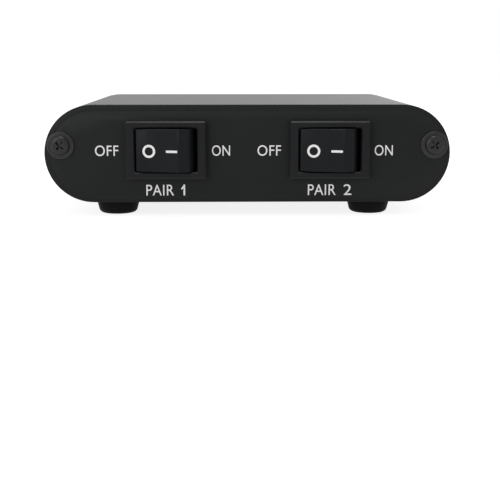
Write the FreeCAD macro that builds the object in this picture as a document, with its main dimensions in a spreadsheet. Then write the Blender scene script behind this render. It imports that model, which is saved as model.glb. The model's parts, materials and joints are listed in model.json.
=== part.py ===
"""Two-pair speaker selector switch: an extruded stadium case with two rocker
switches in front and three four-pole pluggable screw terminals behind.

Frame: millimetres, +Z up, the front looks along -Y, and the origin is the centre of the
footprint at the underside of the feet.
"""
import FreeCAD, Part
import math
import os
import re

import Sketcher
from FreeCAD import Placement, Rotation, Vector

SIZES = {
    # Extruded case and its two end plates
    "case_width": 106.0,
    "case_height": 25.4,
    "case_length": 66.0,
    "case_wall": 1.5,
    "panel_thick": 2.0,
    "border_width": 1.3,
    "border_depth": 0.35,
    # Rails that carry the circuit board inside the case
    "rail_thick": 1.2,
    "rail_reach": 3.0,
    "slot_gap": 0.05,
    # Screws, washers and the screw channels of the case
    "screw_inset": 4.3,
    "screw_rise": 2.3,
    "screw_dia": 2.9,
    "screw_length": 9.0,
    "screw_head_dia": 5.0,
    "screw_head_height": 1.8,
    "screw_dome": 0.9,
    "cross_length": 2.9,
    "cross_width": 0.7,
    "cross_depth": 1.1,
    "washer_dia": 7.0,
    "washer_thick": 0.5,
    "screw_slack": 0.3,
    "channel_dia": 5.6,
    "thread_gap": 0.02,
    # How far a cutting tool runs past the face that it cuts
    "overcut": 1.0,
    # Stick-on feet
    "foot_dia": 11.8,
    "foot_end_dia": 9.8,
    "foot_height": 3.8,
    "foot_round": 1.0,
    "foot_spacing": 67.8,
    "foot_inset": 9.0,
    "foot_shift": 1.1,
    # Circuit board
    "board_level": 9.1,
    "board_thick": 1.6,
    "board_length": 40.0,
    "board_edge_gap": 0.6,
    "board_end_gap": 0.2,
    "pin_hole_dia": 1.5,
    "lead_hole_dia": 0.8,
    # Rocker switch: frame and body
    "switch_spacing": 42.6,
    "switch_rise": 1.1,
    "bezel_width": 21.0,
    "bezel_height": 15.0,
    "bezel_thick": 2.0,
    "bezel_corner": 0.5,
    "bezel_edge": 0.4,
    "opening_width": 16.2,
    "opening_height": 11.4,
    "opening_corner": 0.5,
    "opening_edge": 0.3,
    "body_width": 19.0,
    "body_height": 12.9,
    "body_depth": 13.6,
    "body_floor": 1.5,
    "cutout_gap": 0.1,
    "pole_wall": 0.8,
    "pole_wall_height": 3.4,
    "latch_width": 5.0,
    "latch_length": 6.0,
    "latch_reach": 0.8,
    "latch_gap": 0.1,
    "latch_slot": 0.6,
    "latch_catch": 0.6,
    # Rocker, measured from its pivot
    "pivot_depth": 2.2,
    "rocker_tilt": 12.0,
    "rocker_face": 5.5,
    "rocker_half": 6.75,
    "rocker_skirt_half": 7.7,
    "rocker_shoulder": 1.0,
    "rocker_skirt": 0.8,
    "rocker_side_gap": 0.15,
    "rocker_wall": 1.0,
    "rocker_hollow_half": 5.9,
    "rocker_dish": 0.12,
    "rocker_round": 0.4,
    "ear_half": 1.8,
    "ear_depth": 1.8,
    "trunnion_dia": 2.4,
    "trunnion_length": 0.55,
    "trunnion_gap": 0.05,
    "guide_half": 1.9,
    "guide_depth": 3.2,
    "guide_margin": 0.75,
    "bore_dia": 2.3,
    "bore_start": 3.5,
    # Plunger and its spring
    "plunger_dia": 2.0,
    "plunger_start": 0.6,
    "plunger_length": 5.2,
    "spring_dia": 1.9,
    "spring_wire": 0.3,
    "spring_turns": 4.0,
    # Contact blade and terminals
    "pole_offset": 3.05,
    "blade_tilt": 8.0,
    "blade_thick": 0.5,
    "blade_width": 3.0,
    "blade_long_end": 6.9,
    "blade_short_end": 3.2,
    "contact_place": 5.5,
    "contact_dia": 2.2,
    "contact_height": 0.4,
    "contact_gap": 0.2,
    "fulcrum_depth": 7.76,
    "fulcrum_gap": 0.03,
    "tab_width": 4.8,
    "tab_thick": 0.8,
    "tab_reach": 8.0,
    "tab_corner": 0.8,
    "tab_hole_dia": 1.5,
    "tab_hole_place": 3.2,
    "foot_plate_width": 2.8,
    # Hook-up leads
    "lead_dia": 1.2,
    "lead_upper_reach": 27.5,
    "lead_upper_rise": 12.1,
    "lead_lower_reach": 21.7,
    "lead_lower_rise": 6.9,
    "lead_end_gap": 0.03,
    # Fixed green headers
    "block_margin": 4.45,
    "pole_pitch": 5.08,
    "header_width": 22.3,
    "header_height": 8.5,
    "header_depth": 12.0,
    "header_reach": 2.0,
    "header_floor": 0.8,
    "header_roof": 0.7,
    "header_back_wall": 3.0,
    "header_corner": 0.5,
    "window_gap": 0.15,
    "key_width": 3.0,
    "key_depth": 4.0,
    # Header pins
    "pin_size": 1.0,
    "pin_level": 4.0,
    "pin_reach": 7.5,
    "pin_tail": 2.0,
    "pin_setback": 1.2,
    "pin_bend": 0.7,
    # Pluggable terminal block
    "plug_width": 20.6,
    "plug_height": 14.8,
    "plug_drop": 0.1,
    "plug_gap": 0.3,
    "tower_depth": 9.4,
    "tower_round": 0.6,
    "nose_length": 8.4,
    "nose_slip": 0.1,
    "nose_edge": 0.4,
    "lip_height": 0.9,
    "lip_groove": 0.5,
    "groove_depth": 0.4,
    "brow_height": 2.3,
    "plate_border": 1.3,
    "plate_depth": 0.25,
    "plate_low": 6.7,
    "rib_groove": 0.9,
    "rib_groove_low": 7.5,
    "entry_low": 2.5,
    "entry_width": 3.2,
    "entry_height": 3.8,
    "entry_depth": 1.5,
    "entry_flare": 0.25,
    "chamber_gap": 0.15,
    "channel_gap": 0.15,
    "ledge_thick": 0.6,
    # Clamp screw and the cage that it lifts
    "clamp_screw_dia": 2.5,
    "clamp_thread_gap": 0.05,
    "clamp_head_dia": 3.9,
    "clamp_head_height": 2.0,
    "clamp_head_gap": 0.15,
    "clamp_slot_width": 0.7,
    "clamp_slot_depth": 0.8,
    "seat_gap": 0.05,
    "cage_low": 1.6,
    "cage_width": 3.8,
    "cage_depth": 4.3,
    "cage_side": 0.6,
    "cage_floor": 0.7,
    "cage_window": 4.2,
    "cage_top": 1.5,
    "cage_travel": 2.3,
    # Plated contact inside the plug
    "tongue_level": 4.95,
    "tongue_thick": 0.8,
    "tongue_width": 2.3,
    "tongue_lip": 1.4,
    "tongue_lip_thick": 0.5,
    "tongue_start": 0.9,
    "socket_wall": 0.5,
    "socket_gap": 0.05,
    "socket_slot": 4.0,
    "socket_slot_height": 0.6,
    "socket_setback": 0.3,
}

DERIVED = {
    # Places along Y, from the foremost rocker edge to the rearmost plug face
    "box_length": "case_length + 2 * panel_thick",
    "front_reach": "rocker_face * cos(rocker_tilt) + rocker_half * sin(rocker_tilt) - pivot_depth",
    "rear_reach": "header_reach + plug_gap + tower_depth",
    "front_face": "(front_reach - rear_reach - box_length) / 2",
    "rear_face": "front_face + box_length",
    "case_front": "front_face + panel_thick",
    "case_back": "rear_face - panel_thick",
    "header_front": "rear_face + header_reach",
    "header_back": "header_front - header_depth",
    "plug_front": "header_front + plug_gap",
    "plug_face": "plug_front + tower_depth",
    "nose_end": "plug_front - nose_length",
    "board_front": "case_back - board_end_gap - board_length",
    "board_drop": "case_height / 2 - board_level + board_thick",
    "board_half": "(case_width - case_height) / 2 - board_edge_gap"
                  " + sqrt((case_height / 2 - case_wall)^2 - board_drop^2)",
    "pivot_y": "front_face + pivot_depth",
    "body_back": "front_face + body_depth",
    "body_floor_y": "body_back - body_floor",
    "fulcrum_y": "pivot_y + fulcrum_depth",
    "tab_end": "body_back + tab_reach",
    "entry_back": "plug_face - entry_depth",
    "cage_front": "entry_back - chamber_gap",
    "cage_back": "cage_front - cage_depth",
    "cage_mid_y": "cage_front - cage_depth / 2",
    "chamber_back": "cage_back - chamber_gap",
    "pin_front": "header_back + header_back_wall + pin_reach",
    "pin_leg": "header_back - pin_setback",
    # Places along Z
    "case_mid": "foot_height + case_height / 2",
    "screw_z": "case_mid + screw_rise",
    "screw_x": "case_width / 2 - screw_inset",
    "block_spacing": "screw_x - washer_dia / 2 - block_margin - header_width / 2",
    "switch_z": "case_mid + switch_rise",
    "board_z": "foot_height + board_level",
    "pin_z": "board_z + pin_level",
    "plug_z": "board_z - plug_drop",
    "nose_bottom": "board_z + header_floor + nose_slip",
    "nose_top": "board_z + header_height - header_roof - nose_slip",
    "brow_z": "plug_z + plug_height - brow_height",
    "cage_z": "plug_z + cage_low",
    "cage_roof_z": "cage_z + cage_floor + cage_window",
    "chamber_top": "cage_roof_z + cage_top + cage_travel + chamber_gap",
    "clamp_head_z": "chamber_top + ledge_thick + seat_gap",
    "tongue_z": "plug_z + tongue_level",
    "tongue_top": "tongue_z + tongue_thick",
    # Sizes that follow from others
    "chamber_width": "cage_width + 2 * chamber_gap",
    "socket_half": "pin_size / 2 + socket_gap + socket_wall",
    "fulcrum_round": "tab_thick / 2",
    "blade_back": "fulcrum_round + fulcrum_gap",
    "fixed_contact_y": "fulcrum_y + contact_place * sin(blade_tilt) - blade_back + contact_height"
                       " + contact_gap",
}

FACING_FRONT = Rotation(Vector(1, 0, 0), 90)
FACING_SIDE = Rotation(Vector(1, 1, 1), 120)
AXIS_TURN = {
    "x": Rotation(Vector(0, 1, 0), 90),
    "y": Rotation(Vector(1, 0, 0), -90),
    "z": Rotation(),
}

doc = FreeCAD.newDocument("speaker_selector")
sheet = doc.addObject("Spreadsheet::Sheet", "Sizes")
nodes = []


def fill_sheet():
    """Write every driving size into the spreadsheet under its own alias."""
    for row, (alias, size) in enumerate(SIZES.items(), start=1):
        sheet.set(f"A{row}", alias)
        sheet.set(f"B{row}", str(size))
        sheet.setAlias(f"B{row}", alias)
    doc.recompute()


def formula(text):
    """Turn a formula in plain names into one that points at the spreadsheet's cells."""
    def swap(match):
        word = match.group(0)
        if word in DERIVED:
            return "(" + formula(DERIVED[word]) + ")"
        return "Sizes." + word if word in SIZES else word
    return re.sub(r"[a-z_]+[a-z0-9_]*", swap, str(text))


def value(text):
    """The number that a formula gives with the sizes as they stand."""
    return float(sheet.evalExpression(formula(text)))


def bind(item, **formulas):
    for name, text in formulas.items():
        item.setExpression(name, formula(text))


def place(item, x=0, y=0, z=0, rotation=None):
    """Put an object at a place given by formulas."""
    item.Placement = Placement(Vector(value(x), value(y), value(z)), rotation or Rotation())
    for axis, text in zip("xyz", (x, y, z)):
        item.setExpression(f"Placement.Base.{axis}", formula(text))
    return item


def tilt(item, angle):
    """Turn a placed object about Z by a formula in degrees."""
    item.Placement = Placement(item.Placement.Base, Rotation(Vector(0, 0, 1), value(angle)))
    item.setExpression("Placement.Rotation.Angle", formula(angle))


def block(name, x, y, z):
    """A box between two formulas on each axis."""
    item = doc.addObject("Part::Box", name)
    bind(item, Length=f"{x[1]} - ({x[0]})", Width=f"{y[1]} - ({y[0]})", Height=f"{z[1]} - ({z[0]})")
    return place(item, x[0], y[0], z[0])


def centred(size, middle="0"):
    """The two ends of a length laid evenly about a middle."""
    return (f"({middle}) - ({size}) / 2", f"({middle}) + ({size}) / 2")


def rod(name, axis, radius, start, length):
    """A cylinder from its start point, along X, Y or Z."""
    item = doc.addObject("Part::Cylinder", name)
    bind(item, Radius=radius, Height=length)
    return place(item, *start, rotation=AXIS_TURN[axis])


def grown(span, margin):
    return (f"{span[0]} - ({margin})", f"{span[1]} + ({margin})")


def frustum(name, low, high, y):
    """A rectangular hole's flare, given its X and Z spans at its low and high ends along Y."""
    item = doc.addObject("Part::Wedge", name)
    bind(
        item,
        Xmin=low[0][0], Xmax=low[0][1], Zmin=low[1][0], Zmax=low[1][1],
        X2min=high[0][0], X2max=high[0][1], Z2min=high[1][0], Z2max=high[1][1],
        Ymin="0", Ymax=f"{y[1]} - ({y[0]})",
    )
    return place(item, "0", y[0], "0")


def cut(name, base, *tools):
    item = doc.addObject("Part::Cut", name)
    item.Base = base
    item.Tool = tools[0] if len(tools) == 1 else group(name + "_tools", *tools)
    item.Refine = True
    return item


def fuse(name, *pieces):
    item = doc.addObject("Part::MultiFuse", name)
    item.Shapes = list(pieces)
    item.Refine = True
    return item


def group(name, *pieces):
    item = doc.addObject("Part::Compound", name)
    item.Links = list(pieces)
    return item


def extrude(name, sketch, direction, length):
    item = doc.addObject("Part::Extrusion", name)
    item.Base = sketch
    item.DirMode = "Custom"
    item.Dir = direction
    item.Solid = True
    bind(item, LengthFwd=length)
    return item


def soften(kind, name, base, chosen, size):
    """Fillet or chamfer the edges of a base that a test picks out."""
    doc.recompute()
    item = doc.addObject(f"Part::{kind}", name)
    item.Base = base
    amount = value(size)
    item.Edges = [
        (number, amount, amount)
        for number, edge in enumerate(base.Shape.Edges, start=1) if chosen(edge)
    ]
    return item


def runs_along(edge, axis):
    """Whether an edge is straight and parallel to an axis."""
    if not isinstance(edge.Curve, Part.Line):
        return False
    return abs(abs(edge.Curve.Direction.dot(axis)) - 1) < 1e-6


def lies_at(edge, axis, level):
    """Whether a whole edge lies in the plane at a level along an axis."""
    return all(abs(point.dot(axis) - level) < 1e-4 for point in edge.discretize(3))


def outline(name, points, rotation, x="0", y="0", z="0"):
    """A closed sketch through points, each tied to the sketch's origin by two formulas."""
    sketch = doc.addObject("Sketcher::SketchObject", name)
    corners = [(value(across), value(up)) for across, up in points]
    count = len(corners)
    for number in range(count):
        start = Vector(*corners[number], 0)
        end = Vector(*corners[(number + 1) % count], 0)
        sketch.addGeometry(Part.LineSegment(start, end))
    for number in range(count):
        sketch.addConstraint(Sketcher.Constraint("Coincident", number, 2, (number + 1) % count, 1))
    for number, (texts, corner) in enumerate(zip(points, corners)):
        for kind, text, amount in zip(("DistanceX", "DistanceY"), texts, corner):
            index = sketch.addConstraint(Sketcher.Constraint(kind, -1, 1, number, 1, amount))
            sketch.setExpression(f"Constraints[{index}]", formula(text))
    return place(sketch, x, y, z, rotation)


def stadium(name, inset, y):
    """The case's outline, two half circles joined by flats, drawn in by an inset."""
    sketch = doc.addObject("Sketcher::SketchObject", name)
    radius = value(f"case_height / 2 - ({inset})")
    half = value("(case_width - case_height) / 2")
    quarter = math.pi / 2
    sketch.addGeometry(Part.LineSegment(Vector(-half, radius, 0), Vector(half, radius, 0)))
    right = Part.Circle(Vector(half, 0, 0), Vector(0, 0, 1), radius)
    sketch.addGeometry(Part.ArcOfCircle(right, -quarter, quarter))
    sketch.addGeometry(Part.LineSegment(Vector(half, -radius, 0), Vector(-half, -radius, 0)))
    left = Part.Circle(Vector(-half, 0, 0), Vector(0, 0, 1), radius)
    sketch.addGeometry(Part.ArcOfCircle(left, quarter, 3 * quarter))
    joins = ((0, 2, 1, 2), (1, 1, 2, 1), (2, 2, 3, 2), (3, 1, 0, 1))
    for first, first_end, second, second_end in joins:
        sketch.addConstraint(Sketcher.Constraint("Tangent", first, first_end, second, second_end))
    sketch.addConstraint(Sketcher.Constraint("PointOnObject", 1, 3, -1))
    sketch.addConstraint(Sketcher.Constraint("Symmetric", 1, 3, 3, 3, -1, 1))
    size = sketch.addConstraint(Sketcher.Constraint("Radius", 1, radius))
    sketch.setExpression(f"Constraints[{size}]", formula(f"case_height / 2 - ({inset})"))
    reach = sketch.addConstraint(Sketcher.Constraint("DistanceX", -1, 1, 1, 3, half))
    sketch.setExpression(f"Constraints[{reach}]", formula("(case_width - case_height) / 2"))
    return place(sketch, "0", y, "case_mid", FACING_FRONT)


def stadium_prism(name, inset, low, high):
    sketch = stadium(name + "_outline", inset, low)
    return extrude(name, sketch, Vector(0, 1, 0), f"{high} - ({low})")


def node(item, label):
    """Name a finished sub-part and list it for export."""
    item.Label = label
    nodes.append(item)
    return item


def shape_node(shape, label):
    """A sub-part whose shape is worked out directly from the sizes."""
    item = doc.addObject("Part::Feature", label)
    item.Shape = shape
    return node(item, label)


# Case: a stadium tube with board rails and screw channels along its whole length

def screw_places():
    return [(side, f"{side} * screw_x") for side in (-1, 1)]


def make_case():
    outer = stadium_prism("case_outer", "0", "case_front", "case_back")
    hollow = stadium_prism("case_hollow", "case_wall", "case_front - overcut", "case_back + overcut")
    rail_inner = "case_width / 2 - case_wall - rail_reach"
    slot_top = "board_z + slot_gap"
    slot_bottom = "board_z - board_thick - slot_gap"
    ribs = []
    bores = []
    for side, x in screw_places():
        ends = [f"{side} * ({rail_inner})", f"{side} * case_width / 2"][::side]
        run = ("case_front - 2 * overcut", "case_back + 2 * overcut")
        ribs.append(block("upper_rail", ends, run, (slot_top, f"{slot_top} + rail_thick")))
        ribs.append(block("lower_rail", ends, run, (f"{slot_bottom} - rail_thick", slot_bottom)))
        start = (x, "case_front - 2 * overcut", "screw_z")
        ribs.append(rod("screw_channel", "y", "channel_dia / 2", start, "case_length + 4 * overcut"))
        bores.append(rod("screw_bore", "y", "screw_dia / 2 + thread_gap", start, "case_length + 4 * overcut"))
    cavity = cut("case_cavity", hollow, fuse("case_ribs", *ribs))
    shell = cut("case_shell", outer, cavity)
    node(cut("case_bored", shell, *bores), "extruded_case")


# End plates: flat stadium plates with a shallow bevelled border

def make_panel(label, outer_face, inner_face, openings):
    direction = 1 if value(outer_face) > value(inner_face) else -1
    shoulder = f"{outer_face} - {direction} * border_depth"
    low, high = (inner_face, shoulder)[::direction]
    flat = stadium_prism(label + "_flat", "0", low, high)
    rim = doc.addObject("Part::Loft", label + "_rim")
    rim.Sections = [
        stadium(label + "_rim_outer", "0", shoulder),
        stadium(label + "_rim_inner", "border_width", outer_face),
    ]
    rim.Solid = True
    rim.Ruled = True
    plate = fuse(label + "_plate", flat, rim)
    holes = [
        rod(label + "_hole", "y", "(screw_dia + screw_slack) / 2", (x, f"{low} - overcut", "screw_z"),
            "panel_thick + 2 * overcut")
        for _, x in screw_places()
    ]
    node(cut(label + "_cut", plate, *holes, *openings), label)


def make_panels():
    front_openings = [
        block(
            "switch_opening",
            centred("body_width + 2 * cutout_gap", x),
            ("front_face - overcut", "case_front + overcut"),
            centred("body_height + 2 * cutout_gap", "switch_z"),
        )
        for x in switch_places()
    ]
    make_panel("front_panel", "front_face", "case_front", front_openings)
    rear_openings = [
        block(
            "header_opening",
            centred("header_width + 2 * window_gap", x),
            ("case_back - overcut", "rear_face + overcut"),
            ("board_z - window_gap", "board_z + header_height + window_gap"),
        )
        for x in block_places()
    ]
    make_panel("rear_panel", "rear_face", "case_back", rear_openings)


def make_screw(name, x, outer_face, outward):
    """A domed cross-recess screw, its head standing outward on its washer."""
    under = f"{outer_face} + {outward} * washer_thick"
    head_end = f"{under} + {outward} * screw_head_height"
    low, high = (under, head_end)[::outward]
    shank_tip = f"{under} - {outward} * screw_length"
    shank_low = (shank_tip, under)[::outward][0]
    shank = rod(name + "_shank", "y", "screw_dia / 2", (x, shank_low, "screw_z"), "screw_length")
    head = rod(name + "_head", "y", "screw_head_dia / 2", (x, low, "screw_z"), "screw_head_height")
    domed = soften(
        "Fillet", name + "_dome", head,
        lambda edge: lies_at(edge, Vector(0, 1, 0), value(head_end)), "screw_dome",
    )
    floor = f"{head_end} - {outward} * cross_depth"
    span = (floor, f"{head_end} + {outward} * overcut")[::outward]
    arms = [
        block(name + "_cross", centred("cross_length", x), span, centred("cross_width", "screw_z")),
        block(name + "_cross", centred("cross_width", x), span, centred("cross_length", "screw_z")),
    ]
    return cut(name, fuse(name + "_blank", shank, domed), fuse(name + "_recess", *arms))


def make_washer(name, x, outer_face, outward):
    low = (outer_face, f"{outer_face} + {outward} * washer_thick")[::outward][0]
    disc = rod(name + "_disc", "y", "washer_dia / 2", (x, low, "screw_z"), "washer_thick")
    hole = rod(
        name + "_hole", "y", "(screw_dia + screw_slack) / 2", (x, f"{low} - overcut", "screw_z"),
        "washer_thick + 2 * overcut",
    )
    return cut(name, disc, hole)


def make_fasteners():
    screws = []
    washers = []
    for end, face, outward in (("front", "front_face", -1), ("rear", "rear_face", 1)):
        for side, x in screw_places():
            hand = "left" if side < 0 else "right"
            screws.append(make_screw(f"{end}_{hand}_screw", x, face, outward))
            washers.append(make_washer(f"{end}_{hand}_washer", x, face, outward))
    node(group("screws", *screws), "panel_screws")
    node(group("washers", *washers), "panel_washers")


# Feet: four tapered rubber bumpers stuck under the case

def make_foot(name, x, y):
    cone = doc.addObject("Part::Cone", name + "_cone")
    bind(cone, Radius1="foot_end_dia / 2", Radius2="foot_dia / 2", Height="foot_height")
    place(cone, x, y, "0")
    return soften("Fillet", name, cone, lambda edge: lies_at(edge, Vector(0, 0, 1), 0), "foot_round")


def make_feet():
    for end, y in (("front", "front_face + foot_inset"), ("rear", "rear_face - foot_inset")):
        feet = [
            make_foot(f"{end}_foot_{number}", f"{side} * foot_spacing / 2 - foot_shift", y)
            for number, side in enumerate((-1, 1), start=1)
        ]
        node(group(f"{end}_pair", *feet), f"{end}_feet")


# Circuit board: slides in the case's rails and carries the headers

def make_board():
    plate = block(
        "board_plate",
        centred("2 * board_half"),
        ("board_front", "case_back - board_end_gap"),
        ("board_z - board_thick", "board_z"),
    )
    under = "board_z - board_thick - overcut"
    drill = "board_thick + 2 * overcut"
    holes = [
        rod("pin_hole", "z", "pin_hole_dia / 2", (x, "pin_leg", under), drill)
        for block_x in block_places() for x in pole_places(block_x)
    ]
    holes += [
        rod("lead_hole", "z", "lead_hole_dia / 2", (x, f"tab_end + {lead_landing(row)}", under), drill)
        for switch_x in switch_places() for row in (-1, 1) for x in lead_places(switch_x)
    ]
    node(cut("board_drilled", plate, *holes), "circuit_board")


# Rocker switches

def switch_places():
    return ["-switch_spacing / 2", "switch_spacing / 2"]


def make_housing(prefix, x):
    frame = block(
        prefix + "_frame_blank", centred("bezel_width", x), ("front_face - bezel_thick", "front_face"),
        centred("bezel_height", "switch_z"),
    )
    front = value("front_face - bezel_thick")
    along = Vector(0, 1, 0)
    frame = soften(
        "Fillet", prefix + "_frame", frame, lambda edge: runs_along(edge, along), "bezel_corner"
    )
    frame = soften(
        "Chamfer", prefix + "_frame_edge", frame, lambda edge: lies_at(edge, along, front), "bezel_edge"
    )
    body = block(
        prefix + "_body", centred("body_width", x), ("front_face", "body_back"),
        centred("body_height", "switch_z"),
    )
    well = block(
        prefix + "_well", centred("opening_width", x), ("front_face - bezel_thick - overcut", "body_floor_y"),
        centred("opening_height", "switch_z"),
    )
    well = soften(
        "Fillet", prefix + "_well_round", well, lambda edge: runs_along(edge, along), "opening_corner"
    )
    mouth = (centred("opening_width", x), centred("opening_height", "switch_z"))
    flare = frustum(
        prefix + "_flare", [grown(span, "opening_edge") for span in mouth], mouth,
        ("front_face - bezel_thick", "front_face - bezel_thick + opening_edge"),
    )
    hole = rod(
        prefix + "_trunnion_hole", "z", "trunnion_dia / 2 + trunnion_gap",
        (x, "pivot_y", "switch_z - body_height"), "2 * body_height",
    )
    cuts = [well, flare, hole]
    latches = []
    for side in (-1, 1):
        wall = f"{x} + {side} * body_width / 2"
        latch_start = "case_front + latch_gap"
        latches.append(extrude(
            f"{prefix}_latch", outline(
                f"{prefix}_latch_outline",
                [
                    ("0", "0"),
                    (f"{side} * latch_reach", "0"),
                    (f"{side} * latch_reach", "latch_catch"),
                    ("0", "latch_length"),
                    (f"-{side} * latch_gap", "latch_length"),
                    (f"-{side} * latch_gap", "0"),
                ],
                Rotation(), wall, latch_start, "switch_z - latch_width / 2",
            ), Vector(0, 0, 1), "latch_width",
        ))
        inner = f"{x} + {side} * (opening_width / 2 - 1)"
        outer = f"{x} + {side} * (body_width / 2 + 1)"
        for edge in (-1, 1):
            slot_mid = f"switch_z + {edge} * (latch_width + latch_slot) / 2"
            cuts.append(block(
                f"{prefix}_latch_slot", (inner, outer)[::side],
                ("case_front + latch_gap", "case_front + latch_gap + latch_length"),
                centred("latch_slot", slot_mid),
            ))
    for pole in (-1, 1):
        for offset in ("0", "-contact_place"):
            cuts.append(block(
                f"{prefix}_tab_slot", centred("tab_thick", f"{x} + ({offset})"),
                ("body_floor_y - overcut", "body_back + overcut"),
                centred("tab_width", f"switch_z + {pole} * pole_offset"),
            ))
    shell = cut(prefix + "_shell", fuse(prefix + "_solid", frame, body, *latches), *cuts)
    wall = block(
        prefix + "_pole_wall", centred("opening_width", x),
        ("body_floor_y - pole_wall_height", "body_floor_y"), centred("pole_wall", "switch_z"),
    )
    node(fuse(prefix + "_housing", shell, wall), f"{prefix}_housing")


def make_rocker(prefix, x):
    """The rocker in its own frame, pivot at the origin, then tilted to its OFF rest."""
    half_height = "(opening_height / 2 - rocker_side_gap)"
    profile = outline(
        prefix + "_rocker_profile",
        [
            ("-rocker_half", "-rocker_face"),
            ("rocker_half", "-rocker_face"),
            ("rocker_skirt_half", "-rocker_shoulder"),
            ("rocker_skirt_half", "rocker_skirt"),
            ("ear_half + ear_depth - rocker_skirt", "rocker_skirt"),
            ("ear_half", "ear_depth"),
            ("-ear_half", "ear_depth"),
            ("-(ear_half + ear_depth - rocker_skirt)", "rocker_skirt"),
            ("-rocker_skirt_half", "rocker_skirt"),
            ("-rocker_skirt_half", "-rocker_shoulder"),
        ],
        Rotation(), z=f"-{half_height}",
    )
    solid = extrude(prefix + "_rocker_solid", profile, Vector(0, 0, 1), f"2 * {half_height}")
    face = value("-rocker_face")
    rounded = soften(
        "Fillet", prefix + "_rocker_rounded", solid,
        lambda edge: lies_at(edge, Vector(0, 1, 0), face), "rocker_round",
    )
    dish_radius = "(rocker_half * rocker_half / (2 * rocker_dish))"
    dish = rod(
        prefix + "_dish", "z", dish_radius,
        ("0", f"-rocker_face + rocker_dish - {dish_radius}", f"-2 * {half_height}"),
        f"4 * {half_height}",
    )
    hollow = block(
        prefix + "_rocker_hollow", centred("2 * rocker_hollow_half"),
        ("-rocker_face + rocker_wall", "ear_depth + overcut"), centred(f"2 * ({half_height} - rocker_wall)"),
    )
    guide_height = "2 * (pole_offset + bore_dia / 2 + guide_margin)"
    guide = block(
        prefix + "_guide", centred("2 * guide_half"), ("-rocker_face + rocker_wall / 2", "guide_depth"),
        centred(guide_height),
    )
    bores = [
        rod(prefix + "_bore", "y", "bore_dia / 2", ("0", "-bore_start", f"{pole} * pole_offset"),
            "bore_start + guide_depth + overcut")
        for pole in (-1, 1)
    ]
    trunnions = [
        rod(prefix + "_trunnion", "z", "trunnion_dia / 2", ("0", "0", start),
            "trunnion_length + rocker_wall / 2")
        for start in (f"{half_height} - rocker_wall / 2", f"-{half_height} - trunnion_length")
    ]
    cap = cut(prefix + "_rocker_cap", rounded, dish, hollow)
    blank = fuse(prefix + "_rocker_blank", cap, guide, *trunnions)
    rocker = cut(prefix + "_rocker", blank, *bores)
    seat_on_pivot(node(rocker, f"{prefix}_rocker"), x)


def seat_on_pivot(item, x):
    place(item, x, "pivot_y", "switch_z")
    tilt(item, "-rocker_tilt")


def make_plungers(prefix, x):
    plungers = []
    for pole in (-1, 1):
        z = f"{pole} * pole_offset"
        stem = rod(
            prefix + "_plunger_stem", "y", "plunger_dia / 2", ("0", "plunger_start", z),
            "plunger_length",
        )
        tip = doc.addObject("Part::Sphere", prefix + "_plunger_tip")
        bind(tip, Radius="plunger_dia / 2")
        place(tip, "0", "plunger_start + plunger_length", z)
        plungers.append(fuse(prefix + "_plunger", stem, tip))
    seat_on_pivot(node(group(prefix + "_plunger_pair", *plungers), f"{prefix}_plungers"), x)


def coil(radius, wire, length, turns):
    """A round-wire compression spring about Y, its ends half a wire short of its length."""
    helix = Part.makeHelix((length - wire) / turns, length - wire, radius)
    start = helix.Vertexes[0].Point
    section = Part.Wire(Part.makeCircle(wire / 2, start, Vector(0, 1, 0)))
    spring = Part.Wire(helix).makePipeShell([section], True, True)
    spring.translate(Vector(0, 0, wire / 2))
    spring.rotate(Vector(), Vector(1, 0, 0), -90)
    return spring


def make_springs(prefix, x):
    """Plunger springs, each between the end of its bore and its plunger."""
    wire = value("spring_wire")
    length = value("bore_start + plunger_start")
    springs = []
    for pole in (-1, 1):
        spring = coil(value("(spring_dia - spring_wire) / 2"), wire, length, value("spring_turns"))
        spring.translate(Vector(0, value("-bore_start"), value(f"{pole} * pole_offset")))
        springs.append(spring)
    item = shape_node(Part.makeCompound(springs), f"{prefix}_springs")
    seat_on_pivot(item, x)


def make_blades(prefix, x):
    """Seesaw contact blades about their fulcrum, resting tilted away from the fixed contact."""
    blades = []
    for pole in (-1, 1):
        z = f"{pole} * pole_offset"
        strip = block(
            prefix + "_strip", ("-blade_long_end", "blade_short_end"),
            ("-blade_back - blade_thick", "-blade_back"), centred("blade_width", z),
        )
        button = rod(
            prefix + "_moving_contact", "y", "contact_dia / 2", ("-contact_place", "-blade_back", z),
            "contact_height",
        )
        blades.append(fuse(prefix + "_blade", strip, button))
    item = node(group(prefix + "_blade_pair", *blades), f"{prefix}_contact_blades")
    place(item, x, "fulcrum_y", "switch_z")
    tilt(item, "blade_tilt")


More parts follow.
